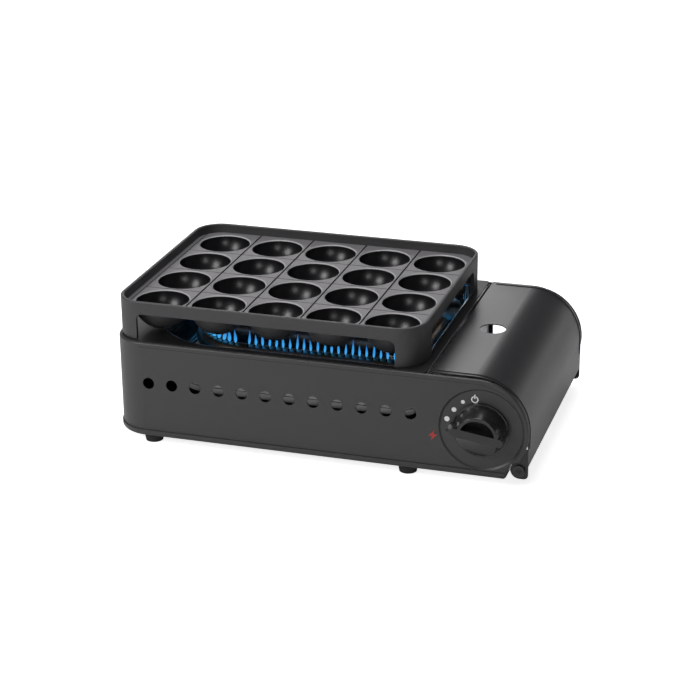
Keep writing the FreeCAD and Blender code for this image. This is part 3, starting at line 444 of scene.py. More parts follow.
        # Painted highlight: a bright band round each cup mouth, where the rounded edge catches the light.
        ring = graph.math("MULTIPLY", graph.band(excess, *self.MOUTH_HIGHLIGHT_BAND), field_mask)
        deck = graph.math("MULTIPLY", graph.band(axes["Z"], *self.DECK_BAND), up)
        graph.feed(made.inputs["Cup"], cup)
        # The painted highlight is kept to up-facing faces near the deck's height.
        shown = graph.math("MULTIPLY", up, graph.step(axes["Z"], *self.MOUTH_HIGHLIGHT_LOW))
        graph.feed(made.inputs["Mouth Highlight"], graph.math("MULTIPLY", ring, shown))
        graph.feed(made.inputs["Deck"], deck)
        return graph.tree

    def pan_field(self) -> bpy.types.NodeTree:
        """Masks of a pan pressed round a well: its flange, which takes painted shade, the hidden side of its
        wall, and a painted shade line along the wall's bend.

        Returns:
            Group with Centre, Half X, Half Y, Left Round and Right Round in; Flange, Back and Seam out; Seam
            is a painted shade line along the wall's bend.
        """
        graph, given, made = self.blank(
            "PanField",
            ("Centre", "Half X", "Half Y", "Left Round", "Right Round"),
            ("Flange", "Back", "Seam"),
            ("Centre",),
        )
        local = graph.minus(graph.object_place(), given.outputs["Centre"])
        axes = graph.add("ShaderNodeSeparateXYZ", {0: local}).outputs
        on_right = graph.math("GREATER_THAN", axes["X"], 0.0)
        change = graph.math("SUBTRACT", given.outputs["Right Round"], given.outputs["Left Round"])
        bend = graph.math("MULTIPLY_ADD", on_right, change, given.outputs["Left Round"])
        reach = []
        for axis, half in (("X", "Half X"), ("Y", "Half Y")):
            beyond = graph.math("SUBTRACT", graph.math("ABSOLUTE", axes[axis]), given.outputs[half])
            reach.append(graph.math("ADD", beyond, bend))
        squares = [graph.math("POWER", graph.math("MAXIMUM", value, 0.0), 2.0) for value in reach]
        outer = graph.math("SQRT", graph.math("ADD", *squares))
        inner = graph.math("MINIMUM", graph.math("MAXIMUM", *reach), 0.0)
        away = graph.math("SUBTRACT", graph.math("ADD", outer, inner), bend)
        high = graph.math("GREATER_THAN", axes["Z"], self.FLANGE_LOW)
        low = graph.math("LESS_THAN", axes["Z"], self.BACK_TOP)
        shelf = graph.step(away, *self.FLANGE_EDGE)
        # The flange mask carries the painted shade on the flange.
        graph.feed(made.inputs["Flange"], graph.math("MULTIPLY", shelf, high))
        down = graph.math("LESS_THAN", graph.axis(graph.true_normal(), "Z"), self.BACK_SLOPE)
        hidden = graph.math("MAXIMUM", graph.math("GREATER_THAN", away, self.BACK_SKIN), down)
        graph.feed(made.inputs["Back"], graph.math("MULTIPLY", hidden, low))
        # Painted shade: a thin dark band at the height of the wall's bend.
        graph.feed(made.inputs["Seam"], graph.band(axes["Z"], *self.BEND_SHADE_BAND))
        return graph.tree


@dataclass(frozen=True)
class Finish:
    """A surface finish made of one Principled shader over the shared groups."""

    name: str
    base: Color
    rough: float = 0.5
    metallic: float = 0.0
    coat: float = 0.0
    coat_rough: float = 0.1
    worn: Color = (0.3, 0.3, 0.3)
    wear: float = 0.0
    wear_radius: float = 0.5 * MM
    dust: float = 0.0
    dusty: Color = (0.32, 0.31, 0.30)
    grain_scale: float = 900.0
    grain_depth: float = 0.1
    grain_spread: float = 0.15

    def build(self, groups: GroupLibrary) -> bpy.types.Material:
        """Make the material.

        Args:
            groups: Library of the shared groups.

        Returns:
            The new material.
        """
        material, graph, shader = blank_material(self.name)
        grain = self.grain_node(graph, groups)
        color = graph.scaled(self.stained(graph), grain.outputs["Shade"])
        self.finish(graph, shader, groups, color, grain)
        return material

    def stained(self, graph: Graph) -> Input:
        """Colour under the grain.

        Args:
            graph: The material's graph.

        Returns:
            The colour or its socket.
        """
        return self.base

    def grain_node(self, graph: Graph, groups: GroupLibrary) -> bpy.types.Node:
        """Place the grain group with this finish's values.

        Args:
            graph: The material's graph.
            groups: Library of the shared groups.

        Returns:
            The group node.
        """
        values = {"Scale": self.grain_scale, "Depth": self.grain_depth}
        values.update({"Rough": self.rough, "Spread": self.grain_spread})
        return graph.add("ShaderNodeGroup", values, node_tree=groups.get("Grain"))

    def finish(
        self, graph: Graph, shader: bpy.types.Node, groups: GroupLibrary, color: Input, grain: bpy.types.Node
    ) -> None:
        """Lay wear and dust over a colour and feed the shader.

        Args:
            graph: The material's graph.
            shader: The Principled node.
            groups: Library of the shared groups.
            color: Colour before wear and dust.
            grain: The grain group node.
        """
        if self.wear > 0:
            rub = {"Radius": self.wear_radius, "Amount": self.wear}
            wear = graph.add("ShaderNodeGroup", rub, node_tree=groups.get("Wear"))
            color = graph.mix(wear.outputs["Mask"], color, self.worn)
        if self.dust > 0:
            dust = graph.add("ShaderNodeGroup", {"Amount": self.dust}, node_tree=groups.get("Dust"))
            color = graph.mix(dust.outputs["Mask"], color, self.dusty)
        graph.feed(shader.inputs["Base Color"], color)
        graph.feed(shader.inputs["Roughness"], grain.outputs["Roughness"])
        graph.feed(shader.inputs["Normal"], grain.outputs["Normal"])
        shader.inputs["Metallic"].default_value = self.metallic
        shader.inputs["Coat Weight"].default_value = self.coat
        shader.inputs["Coat Roughness"].default_value = self.coat_rough


@dataclass(frozen=True)
class CupPlateFinish(Finish):
    """Coated cast plate: blasted deck, a painted highlight on the mouth rings, glossy cups, plain skirt."""

    deck: Color = (0.15, 0.144, 0.15)
    # Colour of the painted highlight on the cup mouths.
    ring: Color = (0.42, 0.41, 0.42)
    cup: Color = (0.005, 0.005, 0.006)
    cup_rough: float = 0.3
    centre: Point = (0.0, 0.0, 0.0)
    pitch: float = 50 * MM
    mouth: float = 22.5 * MM
    half_x: float = 125 * MM
    half_y: float = 100 * MM

    def build(self, groups: GroupLibrary) -> bpy.types.Material:
        """Make the plate's material.

        Args:
            groups: Library of the shared groups.

        Returns:
            The new material.
        """
        material, graph, shader = blank_material(self.name)
        grain = self.grain_node(graph, groups)
        sizes = {"Centre": self.centre, "Pitch": self.pitch, "Mouth": self.mouth}
        sizes.update({"Half X": self.half_x, "Half Y": self.half_y})
        cups = graph.add("ShaderNodeGroup", sizes, node_tree=groups.get("CupField"))
        blasted = graph.mix(cups.outputs["Deck"], self.base, self.deck)
        shaded = graph.scaled(blasted, grain.outputs["Shade"])
        # Lay the painted highlight on the mouth rings.
        mouth_highlighted = graph.mix(cups.outputs["Mouth Highlight"], shaded, self.ring)
        color = graph.mix(cups.outputs["Cup"], mouth_highlighted, self.cup)
        self.finish(graph, shader, groups, color, grain)
        rough = graph.add("ShaderNodeMix", data_type="FLOAT")
        graph.feed(rough.inputs[0], cups.outputs["Cup"])
        graph.feed(rough.inputs[2], grain.outputs["Roughness"])
        graph.feed(rough.inputs[3], self.cup_rough)
        graph.feed(shader.inputs["Roughness"], rough.outputs[0])
        return material


@dataclass(frozen=True)
class PanFinish(Finish):
    """Bright pressed liner with a dull grey hidden side; its flange is painted black as painted shade and
    painted dark reflection, and a painted shade line runs along the wall's bend.
    """

    # Painted shade: black on the bright liner's flange under the plate's legs and the case's lip, for its
    # shade and dark reflection.
    flange: Color = (0.010, 0.010, 0.011)
    back: Color = (0.80, 0.80, 0.81)
    # Colour of the painted shade line along the wall's bend.
    bend_shade: Color = (0.03, 0.03, 0.03)
    dull: float = 0.45
    centre: Point = (0.0, 0.0, 0.0)
    half_x: float = 116.5 * MM
    half_y: float = 101.5 * MM
    left_round: float = 60 * MM
    right_round: float = 15 * MM

    def build(self, groups: GroupLibrary) -> bpy.types.Material:
        """Make the liner's material.

        Args:
            groups: Library of the shared groups.

        Returns:
            The new material.
        """
        material, graph, shader = blank_material(self.name)
        grain = self.grain_node(graph, groups)
        sizes = {"Centre": self.centre, "Half X": self.half_x, "Half Y": self.half_y}
        sizes.update({"Left Round": self.left_round, "Right Round": self.right_round})
        pan = graph.add("ShaderNodeGroup", sizes, node_tree=groups.get("PanField"))
        # Lay the painted shade line on the hidden side at the wall's bend.
        hidden = graph.mix(pan.outputs["Seam"], self.back, self.bend_shade)
        # Painted shade: the flange turns black and dull.
        painted = graph.mix(pan.outputs["Flange"], self.base, self.flange)
        bare = graph.mix(pan.outputs["Back"], painted, hidden)
        color = graph.scaled(bare, grain.outputs["Shade"])
        self.finish(graph, shader, groups, color, grain)
        covered = graph.math("MAXIMUM", pan.outputs["Flange"], pan.outputs["Back"])
        rough = graph.math("MULTIPLY_ADD", covered, self.dull - self.rough, grain.outputs["Roughness"])
        graph.feed(shader.inputs["Metallic"], graph.math("SUBTRACT", 1.0, covered))
        graph.feed(shader.inputs["Roughness"], rough)
        return material


@dataclass(frozen=True)
class HeatTintFinish(Finish):
    """Bare steel that straw and blue heat colours have run over."""

    tint: Color = (0.32, 0.20, 0.10)
    tint_cloud: tuple[float, float] = (60.0, 2.0)
    tint_step: tuple[float, float] = (0.55, 0.35)

    def stained(self, graph: Graph) -> Input:
        """Steel with the tint in clouds over it.

        Args:
            graph: The material's graph.

        Returns:
            The colour's socket.
        """
        cloud = graph.noise(graph.object_place(), *self.tint_cloud)
        return graph.mix(graph.step(cloud, *self.tint_step), self.base, self.tint)


@dataclass(frozen=True)
class FlameFinish:
    """Blue gas flame: a pale root and a see-through blue tip."""

    name: str = "gas_flame"
    root: Color = (0.06, 0.42, 0.85)
    tip: Color = (0.005, 0.10, 0.42)
    strength: float = 1.25
    root_z: float = 0.0
    height: float = FLAME_HEIGHT
    veil: float = 0.5
    rise: float = 0.35
    rim: float = 0.4
    flicker_cloud: tuple[float, float] = (240.0, 1.0)
    flicker: float = 0.5
    cooling: float = 0.75

    def build(self) -> bpy.types.Material:
        """Make the flame's material.

        Returns:
            The new material.
        """
        material = bpy.data.materials.new(self.name)
        material.use_nodes = True
        tree = material.node_tree
        tree.nodes.clear()
        graph = Graph(tree)
        place = graph.object_place()
        crest = self.root_z + self.height
        ranges = {"Value": graph.axis(place, "Z"), "From Min": self.root_z, "From Max": crest}
        level = graph.add("ShaderNodeMapRange", ranges).outputs[0]
        cloud = graph.noise(place, *self.flicker_cloud)
        cool = graph.math("MULTIPLY_ADD", cloud, self.flicker, graph.math("MULTIPLY", level, self.cooling))
        color = graph.mix(cool, self.root, self.tip)
        glow = graph.add("ShaderNodeEmission", {"Color": color, "Strength": self.strength})
        clear = graph.add("ShaderNodeBsdfTransparent")
        facing = graph.add("ShaderNodeLayerWeight", {"Blend": self.rim}).outputs["Facing"]
        fade = graph.math("MULTIPLY_ADD", level, self.rise, graph.math("MULTIPLY", facing, self.veil))
        mixed = graph.add("ShaderNodeMixShader", {0: fade, 1: glow.outputs[0], 2: clear.outputs[0]})
        graph.add("ShaderNodeOutputMaterial", {"Surface": mixed.outputs[0]})
        return material


def blank_material(name: str) -> tuple[bpy.types.Material, Graph, bpy.types.Node]:
    """Start a material that holds one Principled shader.

    Args:
        name: Material name.

    Returns:
        The material, its graph and the shader node.
    """
    material = bpy.data.materials.new(name)
    material.use_nodes = True
    material.node_tree.nodes.clear()
    graph = Graph(material.node_tree)
    shader = graph.add("ShaderNodeBsdfPrincipled")
    graph.add("ShaderNodeOutputMaterial", {"Surface": shader.outputs[0]})
    return material, graph, shader


@dataclass(frozen=True)
class Frame:
    """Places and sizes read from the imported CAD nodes, in metres."""

    nodes: dict[str, bpy.types.Object]
    plate_rim: float = 8 * MM
    well_shift: float = 11 * MM

    def box(self, node: str) -> tuple[Vector, Vector]:
        """Corners of a CAD node.

        Args:
            node: Node name.

        Returns:
            Lowest and highest corner.
        """
        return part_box(node)

    @property
    def plate_centre(self) -> Vector:
        """Middle of the plate's deck top."""
        low, high = self.box("takoyaki_plate")
        return Vector(((low.x + high.x) / 2, (low.y + high.y) / 2, high.z - self.plate_rim))

    @property
    def well_centre(self) -> Point:
        """Middle of the burner well, at the level of its flange."""
        middle = self.plate_centre
        top = self.box("burner_pan")[1].z
        return (middle.x + self.well_shift, middle.y, top)

    @property
    def knob_axis(self) -> Vector:
        """Point of the knob shaft's axis on the case front."""
        low, high = self.box("knob_shaft")
        front = self.box("case_shell")[0].y
        return Vector(((low.x + high.x) / 2, front, (low.z + high.z) / 2))


def new_object(
    name: str, mesh: bpy.types.Mesh, material: bpy.types.Material, body: Body
) -> bpy.types.Object:
    """Link a mesh into the scene as a piece of the object.

    Args:
        name: Piece name.
        mesh: Its mesh, in the row frame.
        material: Its material.
        body: The rigid body it rides on.

    Returns:
        The new object.
    """
    piece = bpy.data.objects.new(name, mesh)
    piece.data.materials.append(material)
    bpy.context.scene.collection.objects.link(piece)
    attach(piece, body.value)
    LOG.info("piece %s rides on %s with %d faces", name, body.value, len(mesh.polygons))
    return piece


def mesh_from(build: Callable[[bmesh.types.BMesh], None], name: str, smooth: bool = True) -> bpy.types.Mesh:
    """Run a builder on an empty mesh.

    Args:
        build: Function that adds geometry to a bmesh.
        name: Mesh name.
        smooth: Shade faces smooth.

    Returns:
        The finished mesh.
    """
    work = bmesh.new()
    build(work)
    bmesh.ops.recalc_face_normals(work, faces=work.faces)
    mesh = bpy.data.meshes.new(name)
    work.to_mesh(mesh)
    work.free()
    for face in mesh.polygons:
        face.use_smooth = smooth
    return mesh


def add_revolved(
    work: bmesh.types.BMesh, profile: Sequence[tuple[float, float]], place: Matrix, steps: int
) -> None:
    """Add a closed body of revolution about the local Z axis.

    Args:
        work: Mesh that gets the body.
        profile: (radius, height) points from the lower pole to the upper one.
        place: Where the body goes.
        steps: Sides around the axis.
    """
    rings = []
    for radius, height in profile:
        if radius == 0:
            rings.append([work.verts.new(place @ Vector((0, 0, height)))])
            continue
        ring = [Vector((x, y, height)) for x, y in disc_outline(radius, steps)]
        rings.append([work.verts.new(place @ point) for point in ring])
    for lower, upper in zip(rings, rings[1:]):
        for k in range(steps):
            after = (k + 1) % steps
            corners = [lower[k % len(lower)], lower[after % len(lower)]]
            corners += [upper[after % len(upper)], upper[k % len(upper)]]
            unique = list(dict.fromkeys(corners))
            if len(unique) > 2:
                work.faces.new(unique)


def join_loops(
    work: bmesh.types.BMesh, first: Sequence[bmesh.types.BMVert], second: Sequence[bmesh.types.BMVert]
) -> None:
    """Add the faces between two closed loops with as many points.

    Args:
        work: Mesh that gets the faces.
        first: Points of one loop.
        second: Points of the other loop.
    """
    for k in range(len(first)):
        after = (k + 1) % len(first)
        work.faces.new([first[k], first[after], second[after], second[k]])


def add_slab(
    work: bmesh.types.BMesh, outline: Sequence[tuple[float, float]], place: Matrix, thick: float
) -> None:
    """Add a flat closed slab from an outline in local XY, raised along local Z.

    Args:
        work: Mesh that gets the slab.
        outline: Points of the outline, in order.
        place: Where the slab goes.
        thick: Height of the slab.
    """
    low = [work.verts.new(place @ Vector((x, y, 0))) for x, y in outline]
    high = [work.verts.new(place @ Vector((x, y, thick))) for x, y in outline]
    work.faces.new(list(reversed(low)))
    work.faces.new(high)
    join_loops(work, low, high)


def disc_outline(radius: float, steps: int = 28) -> list[tuple[float, float]]:
    """Points of a circle.

    Args:
        radius: Its radius.
        steps: How many points.

    Returns:
        The points, counter-clockwise.
    """
    angles = [2 * math.pi * k / steps for k in range(steps)]
    return [(radius * math.cos(angle), radius * math.sin(angle)) for angle in angles]


def add_ribbon(
    work: bmesh.types.BMesh, path: Sequence[Vector], side: Vector, width: float, lift: Vector
) -> None:
    """Add a thin raised strip along a path that lies in one plane.

    Args:
        work: Mesh that gets the strip.
        path: Middle line of the strip.
        side: Normal of the plane that the path lies in.
        width: Width of the strip.
        lift: Height of the strip, as a vector out of the surface.
    """
    rows = []
    for k, point in enumerate(path):
        ahead = path[min(k + 1, len(path) - 1)] - path[max(k - 1, 0)]
        across = ahead.cross(side).normalized() * (width / 2)
        offsets = (across, across + lift, lift - across, -across)
        rows.append([work.verts.new(point + offset) for offset in offsets])
    for first, second in zip(rows, rows[1:]):
        join_loops(work, first, second)
    work.faces.new(rows[0])
    work.faces.new(list(reversed(rows[-1])))


@dataclass
class Flames:
    """Gas flames over the burner's slots, as closed teardrops."""

    frame: Frame
    pitch: float = 6.1 * MM
    radius: float = 1.5 * MM
    blade: float = 2.6
    height: float = FLAME_HEIGHT
    foot_sink: float = 1 * MM
    profile: tuple[tuple[float, float], ...] = (
        (0, 0), (0.55, 0.05), (0.95, 0.22), (0.85, 0.42), (0.5, 0.68), (0.2, 0.88), (0, 1),
    )
    mean_share: float = 0.85
    sway: float = 0.15
    sway_beat: float = 2.4
    lean: float = 0.12
    lean_beat: float = 1.7
    bar_offset: float = 50 * MM
    tube_radius: float = 8 * MM
    end_gap: float = 18 * MM
    turn_step: float = 7.0
    sides: int = 8

    def seats(self) -> list[tuple[Vector, float]]:
        """Foot of every flame and the direction of its tube.

        Returns:
            Points on the tube's crest, each with an angle about the vertical.
        """
        low, high = self.frame.box("burner")
        centre_y = (low.y + high.y) / 2
        crest = high.z - self.foot_sink
        bend_x = low.x + self.bar_offset + self.tube_radius
        start = high.x - self.end_gap
        count = int((start - bend_x) / self.pitch) + 1
        feet = []
        for lane in (-1, 0, 1):
            y = centre_y + lane * self.bar_offset
            feet += [(Vector((start - k * self.pitch, y, crest)), 0.0) for k in range(count)]
        turns = int(180 / self.turn_step)
        for k in range(turns):
            angle = math.radians(90 + (k + 0.5) * self.turn_step)
            reach = Vector((math.cos(angle), math.sin(angle), 0)) * self.bar_offset
            feet.append((Vector((bend_x, centre_y, crest)) + reach, angle + math.pi / 2))
        return feet

    def build(self, material: bpy.types.Material) -> list[bpy.types.Object]:
        """Make the flames.

        Args:
            material: The flame's material.

        Returns:
            The new piece.
        """

        def shape(work: bmesh.types.BMesh) -> None:
            for number, (foot, heading) in enumerate(self.seats()):
                share = self.mean_share + self.sway * math.sin(number * self.sway_beat)
                sized = [(r * self.radius, h * self.height * share) for r, h in self.profile]
                lean = Matrix.Rotation(self.lean * math.sin(number * self.lean_beat), 4, "X")
                flat = Matrix.Diagonal((self.blade ** -0.5, self.blade ** 0.5, 1.0, 1.0))
                turned = Matrix.Translation(foot) @ Matrix.Rotation(heading, 4, "Z") @ flat
                add_revolved(work, sized, turned @ lean, self.sides)

        return [new_object("flames", mesh_from(shape, "flames"), material, Body.CASE)]


@dataclass
class DialMarks:
    """Setting marks printed around the knob: a row of dots, an off bar and a light-up spot."""

    frame: Frame
    ink: float = 0.06 * MM
    dial_sink: float = 1.2 * MM
    dots: tuple[tuple[float, float, float], ...] = (
        (168.0, 29 * MM, 2.2 * MM),
        (147.0, 27 * MM, 2.0 * MM),
        (125.0, 27 * MM, 1.6 * MM),
    )
    off_angle: float = 103.0
    off_reach: float = 26 * MM
    off_ring: tuple[float, float] = (3.0 * MM, 2.1 * MM)
    off_bar: tuple[float, float, float] = (0.5 * MM, 0.6 * MM, 4.2 * MM)
    spark_angle: float = 193.0
    spark_reach: float = 40.5 * MM
    spark_bolt: tuple[tuple[float, float], ...] = (
        (1.4, 4.6), (-3.6, -0.8), (-0.6, -0.8), (-1.6, -4.8), (3.6, 1.0), (0.6, 1.0),
    )

    def spot(self, angle: float, reach: float, sunk: bool) -> Matrix:
        """Place on the panel by polar position about the knob.

        Args:
            angle: Degrees from the right, counter-clockwise as seen from the front.
            reach: Distance from the knob's axis.
            sunk: Whether the spot is in the recessed disc.

        Returns:
            Matrix whose local Z points out of the panel.
        """
        axis = self.frame.knob_axis
        depth = self.dial_sink if sunk else 0.0
        turn = math.radians(angle)
        place = axis + Vector((reach * math.cos(turn), depth, reach * math.sin(turn)))
        return Matrix.Translation(place) @ Matrix.Rotation(math.pi / 2, 4, "X")

    def build(self, white: bpy.types.Material, red: bpy.types.Material) -> list[bpy.types.Object]:
        """Make the marks.

        Args:
            white: White ink.
            red: Red ink.

        Returns:
            The new pieces.
        """

        def dots(work: bmesh.types.BMesh) -> None:
            for angle, reach, radius in self.dots:
                add_slab(work, disc_outline(radius), self.spot(angle, reach, True), self.ink)

        def off(work: bmesh.types.BMesh) -> None:
            place = self.spot(self.off_angle, self.off_reach, True)
            self.ring(work, place, *self.off_ring)
            half, low, high = self.off_bar
            add_slab(work, [(-half, low), (half, low), (half, high), (-half, high)], place, self.ink)

        def spark(work: bmesh.types.BMesh) -> None:
            place = self.spot(self.spark_angle, self.spark_reach, False)
            add_slab(work, [(x * MM, y * MM) for x, y in self.spark_bolt], place, self.ink)

        marks = (("dial_dots", dots, white), ("dial_off_mark", off, white), ("dial_spark_mark", spark, red))
        return [
            new_object(name, mesh_from(shape, name, False), ink, Body.CASE)
            for name, shape, ink in marks
        ]

    def ring(self, work: bmesh.types.BMesh, place: Matrix, outer: float, inner: float) -> None:
        """Add a flat closed ring.

        Args:
            work: Mesh that gets the ring.
            place: Where it goes.
            outer: Outer radius.
            inner: Inner radius.
        """
        rings = []
        for radius, height in ((outer, 0.0), (outer, self.ink), (inner, self.ink), (inner, 0.0)):
            rings.append([work.verts.new(place @ Vector((x, y, height))) for x, y in disc_outline(radius)])
        for lower, upper in zip(rings, rings[1:] + rings[:1]):
            join_loops(work, lower, upper)


@dataclass
class PanelLine:
    """Painted shade of the fine step line pressed just inside the front panel's upper edge and its round end,
    drawn as a thin dark strip.
    """

    frame: Frame
    inset: float = 3.6 * MM
    width: float = 0.7 * MM
    proud: float = 0.05 * MM
    end_radius: float = 43 * MM
    start: float = 26 * MM
    sweep: float = 128.0
    steps: int = 20

    def build(self, ink: bpy.types.Material) -> list[bpy.types.Object]:
        """Make the line.

        Args:
            ink: Dark material of the line's painted shade.

        Returns:
            The new piece.
        """
        low, high = self.frame.box("case_shell")
        centre = Vector((high.x - self.end_radius, low.y, high.z - self.end_radius))
        radius = self.end_radius - self.inset
        path = [Vector((low.x + self.start, low.y, high.z - self.inset))]
        for k in range(self.steps + 1):
            angle = math.radians(90 - self.sweep * k / self.steps)
            path.append(centre + Vector((radius * math.cos(angle), 0, radius * math.sin(angle))))

        def shape(work: bmesh.types.BMesh) -> None:
            add_ribbon(work, path, Vector((0, 1, 0)), self.width, Vector((0, -self.proud, 0)))

        return [new_object("panel_step_shade", mesh_from(shape, "panel_step_shade", False), ink, Body.CASE)]


@dataclass
class ScrewCrosses:
    """Painted shade in the cross recesses of the two hinge screws, drawn as thin dark crosses on the heads.
    """

    frame: Frame
    arm: float = 2.6 * MM
    half: float = 0.55 * MM
    proud: float = 0.05 * MM
    twist: float = 20.0

    def build(self, dark: bpy.types.Material) -> list[bpy.types.Object]:
        """Make the crosses.

        Args:
            dark: Material of the painted shade in the recess.

        Returns:
            The new pieces.
        """
        made = []
        for name, side in (("front", -1), ("rear", 1)):
            low, high = self.frame.box("hinge_screw_" + name)
            face = low.y if side < 0 else high.y
            middle = Vector(((low.x + high.x) / 2, face, (low.z + high.z) / 2))
            turn = Matrix.Rotation(-side * math.pi / 2, 4, "X")
            place = Matrix.Translation(middle) @ turn @ Matrix.Rotation(math.radians(self.twist), 4, "Z")
            a, b = self.arm, self.half
            quarter = [(a, -b), (a, b), (b, b)]
            turns = [(1, 0), (0, 1), (-1, 0), (0, -1)]
            cross = [(x * c - y * s, x * s + y * c) for c, s in turns for x, y in quarter]

            def shape(work: bmesh.types.BMesh, where: Matrix = place) -> None:
                add_slab(work, cross, where, self.proud)

            piece = "screw_recess_shade_" + name
            made.append(new_object(piece, mesh_from(shape, piece, False), dark, Body.CASE))
        return made


@dataclass(frozen=True)
class Lamp:
    """One soft box: where it hangs, what it points at, its sides in metres and its watts."""

    name: str
    place: Point
    target: Point
    width: float
    height: float
    power: float


@dataclass
class Studio:
    """Floor, lights, world and camera."""

    frame: Frame
    eye: Point = (504.1 * MM, -1500.25 * MM, 573.6 * MM)
    aim: Point = (-0.27379, 0.88616, -0.37385)
    roll: float = -0.438
    lens: float = 101.04
    sensor: float = 36.0
    near: float = 0.05
    floor_half: float = 4.0
    floor_cloud: tuple[float, float] = (3.0, 2.0)
    floor_tones: tuple[Color, Color] = ((0.86, 0.86, 0.86), (0.88, 0.88, 0.88))
    floor_rough: float = 0.9
    floor_shine: float = 0.1
    floor_glow: float = 0.80
    sky_left: Color = (0.14, 0.14, 0.14)
    sky_right: Color = (0.035, 0.035, 0.04)
    sky_step: tuple[float, float] = (0.0, 1.2)
    pale: Color = (0.95, 0.95, 0.95)
    pale_band: tuple[float, float, float] = (-0.12, 0.14, 0.1)
    pale_step: tuple[float, float] = (0.4, 0.5)
    lamps: tuple[Lamp, ...] = (
        Lamp("key_left", (-0.95, -1.0, 0.85), (-0.12, -0.1, 0.05), 0.6, 0.6, 10.5),
        Lamp("back_soft", (-0.75, 2.2, 1.1), (0.0, 0.0, 0.08), 0.9, 0.8, 6.5),
        Lamp("top_strip", (-0.15, 0.1, 1.7), (-0.05, 0.0, 0.1), 1.2, 0.6, 16.0),
        Lamp("front_fill", (0.55, -1.9, 0.75), (0.0, 0.0, 0.05), 0.5, 0.5, 5.0),
    )

    def build(self) -> None:
        """Make everything around the object."""
        self.floor()
        self.world()
        for lamp in self.lamps:
            self.hang(lamp)
        self.camera()

    def floor(self) -> None:
        """White table that keeps the shadow."""

        def shape(work: bmesh.types.BMesh) -> None:
            corners = [(-1, -1), (1, -1), (1, 1), (-1, 1)]
            half = self.floor_half
            work.faces.new([work.verts.new((x * half, y * half, 0)) for x, y in corners])

        material, graph, shader = blank_material("studio_floor")
        tone = graph.mix(graph.noise(graph.object_place(), *self.floor_cloud), *self.floor_tones)
        graph.feed(shader.inputs["Base Color"], tone)
        shader.inputs["Roughness"].default_value = self.floor_rough
        shader.inputs["Specular IOR Level"].default_value = self.floor_shine
        ray = graph.add("ShaderNodeLightPath").outputs["Is Camera Ray"]
        graph.feed(shader.inputs["Emission Color"], rgba(WHITE))
        graph.feed(shader.inputs["Emission Strength"], graph.math("MULTIPLY", ray, self.floor_glow))
        floor = bpy.data.objects.new("studio_floor", mesh_from(shape, "studio_floor", False))
        floor.data.materials.append(material)
        bpy.context.scene.collection.objects.link(floor)

    def world(self) -> None:
        """White to the camera; else a grey that darkens to the right, with a pale band low behind."""
        world = bpy.data.worlds.new("studio")
        world.use_nodes = True
        world.node_tree.nodes.clear()
        graph = Graph(world.node_tree)
        ray = graph.add("ShaderNodeLightPath").outputs["Is Camera Ray"]
        place = graph.add("ShaderNodeTexCoord").outputs["Generated"]
        axes = graph.add("ShaderNodeSeparateXYZ", {0: place}).outputs
        dim = graph.mix(graph.step(axes["X"], *self.sky_step), self.sky_left, self.sky_right)
        low = graph.band(axes["Z"], *self.pale_band)
        behind = graph.math("MULTIPLY", low, graph.step(axes["Y"], *self.pale_step))
        tone = graph.mix(behind, dim, self.pale)
        color = graph.mix(ray, tone, WHITE)
        glow = graph.add("ShaderNodeBackground", {"Color": color, "Strength": 1.0})
        graph.add("ShaderNodeOutputWorld", {"Surface": glow.outputs[0]})
        bpy.context.scene.world = world

    def hang(self, lamp: Lamp) -> None:
        """Add one soft box.

        Args:
            lamp: The soft box.
        """
        data = bpy.data.lights.new(lamp.name, "AREA")
        data.shape = "RECTANGLE"
        data.size = lamp.width
        data.size_y = lamp.height
        data.energy = lamp.power
        box = bpy.data.objects.new(lamp.name, data)
        turn = (Vector(lamp.target) - Vector(lamp.place)).to_track_quat("-Z", "Y").to_matrix().to_4x4()
        box.matrix_world = Matrix.Translation(lamp.place) @ turn
        bpy.context.scene.collection.objects.link(box)

    def camera(self) -> None:
        """Place the camera that the photograph's perspective gives."""
        data = bpy.data.cameras.new("camera")
        data.lens = self.lens
        data.sensor_width = self.sensor
        data.clip_start = self.near
        camera = bpy.data.objects.new("camera", data)
        place = self.frame.plate_centre + Vector(self.eye)
        turn = Vector(self.aim).to_track_quat("-Z", "Y").to_matrix().to_4x4()
        roll = Matrix.Rotation(math.radians(self.roll), 4, "Z")
        camera.matrix_world = Matrix.Translation(place) @ turn @ roll
        bpy.context.scene.collection.objects.link(camera)
        bpy.context.scene.camera = camera
        bpy.context.scene.view_settings.view_transform = "Standard"


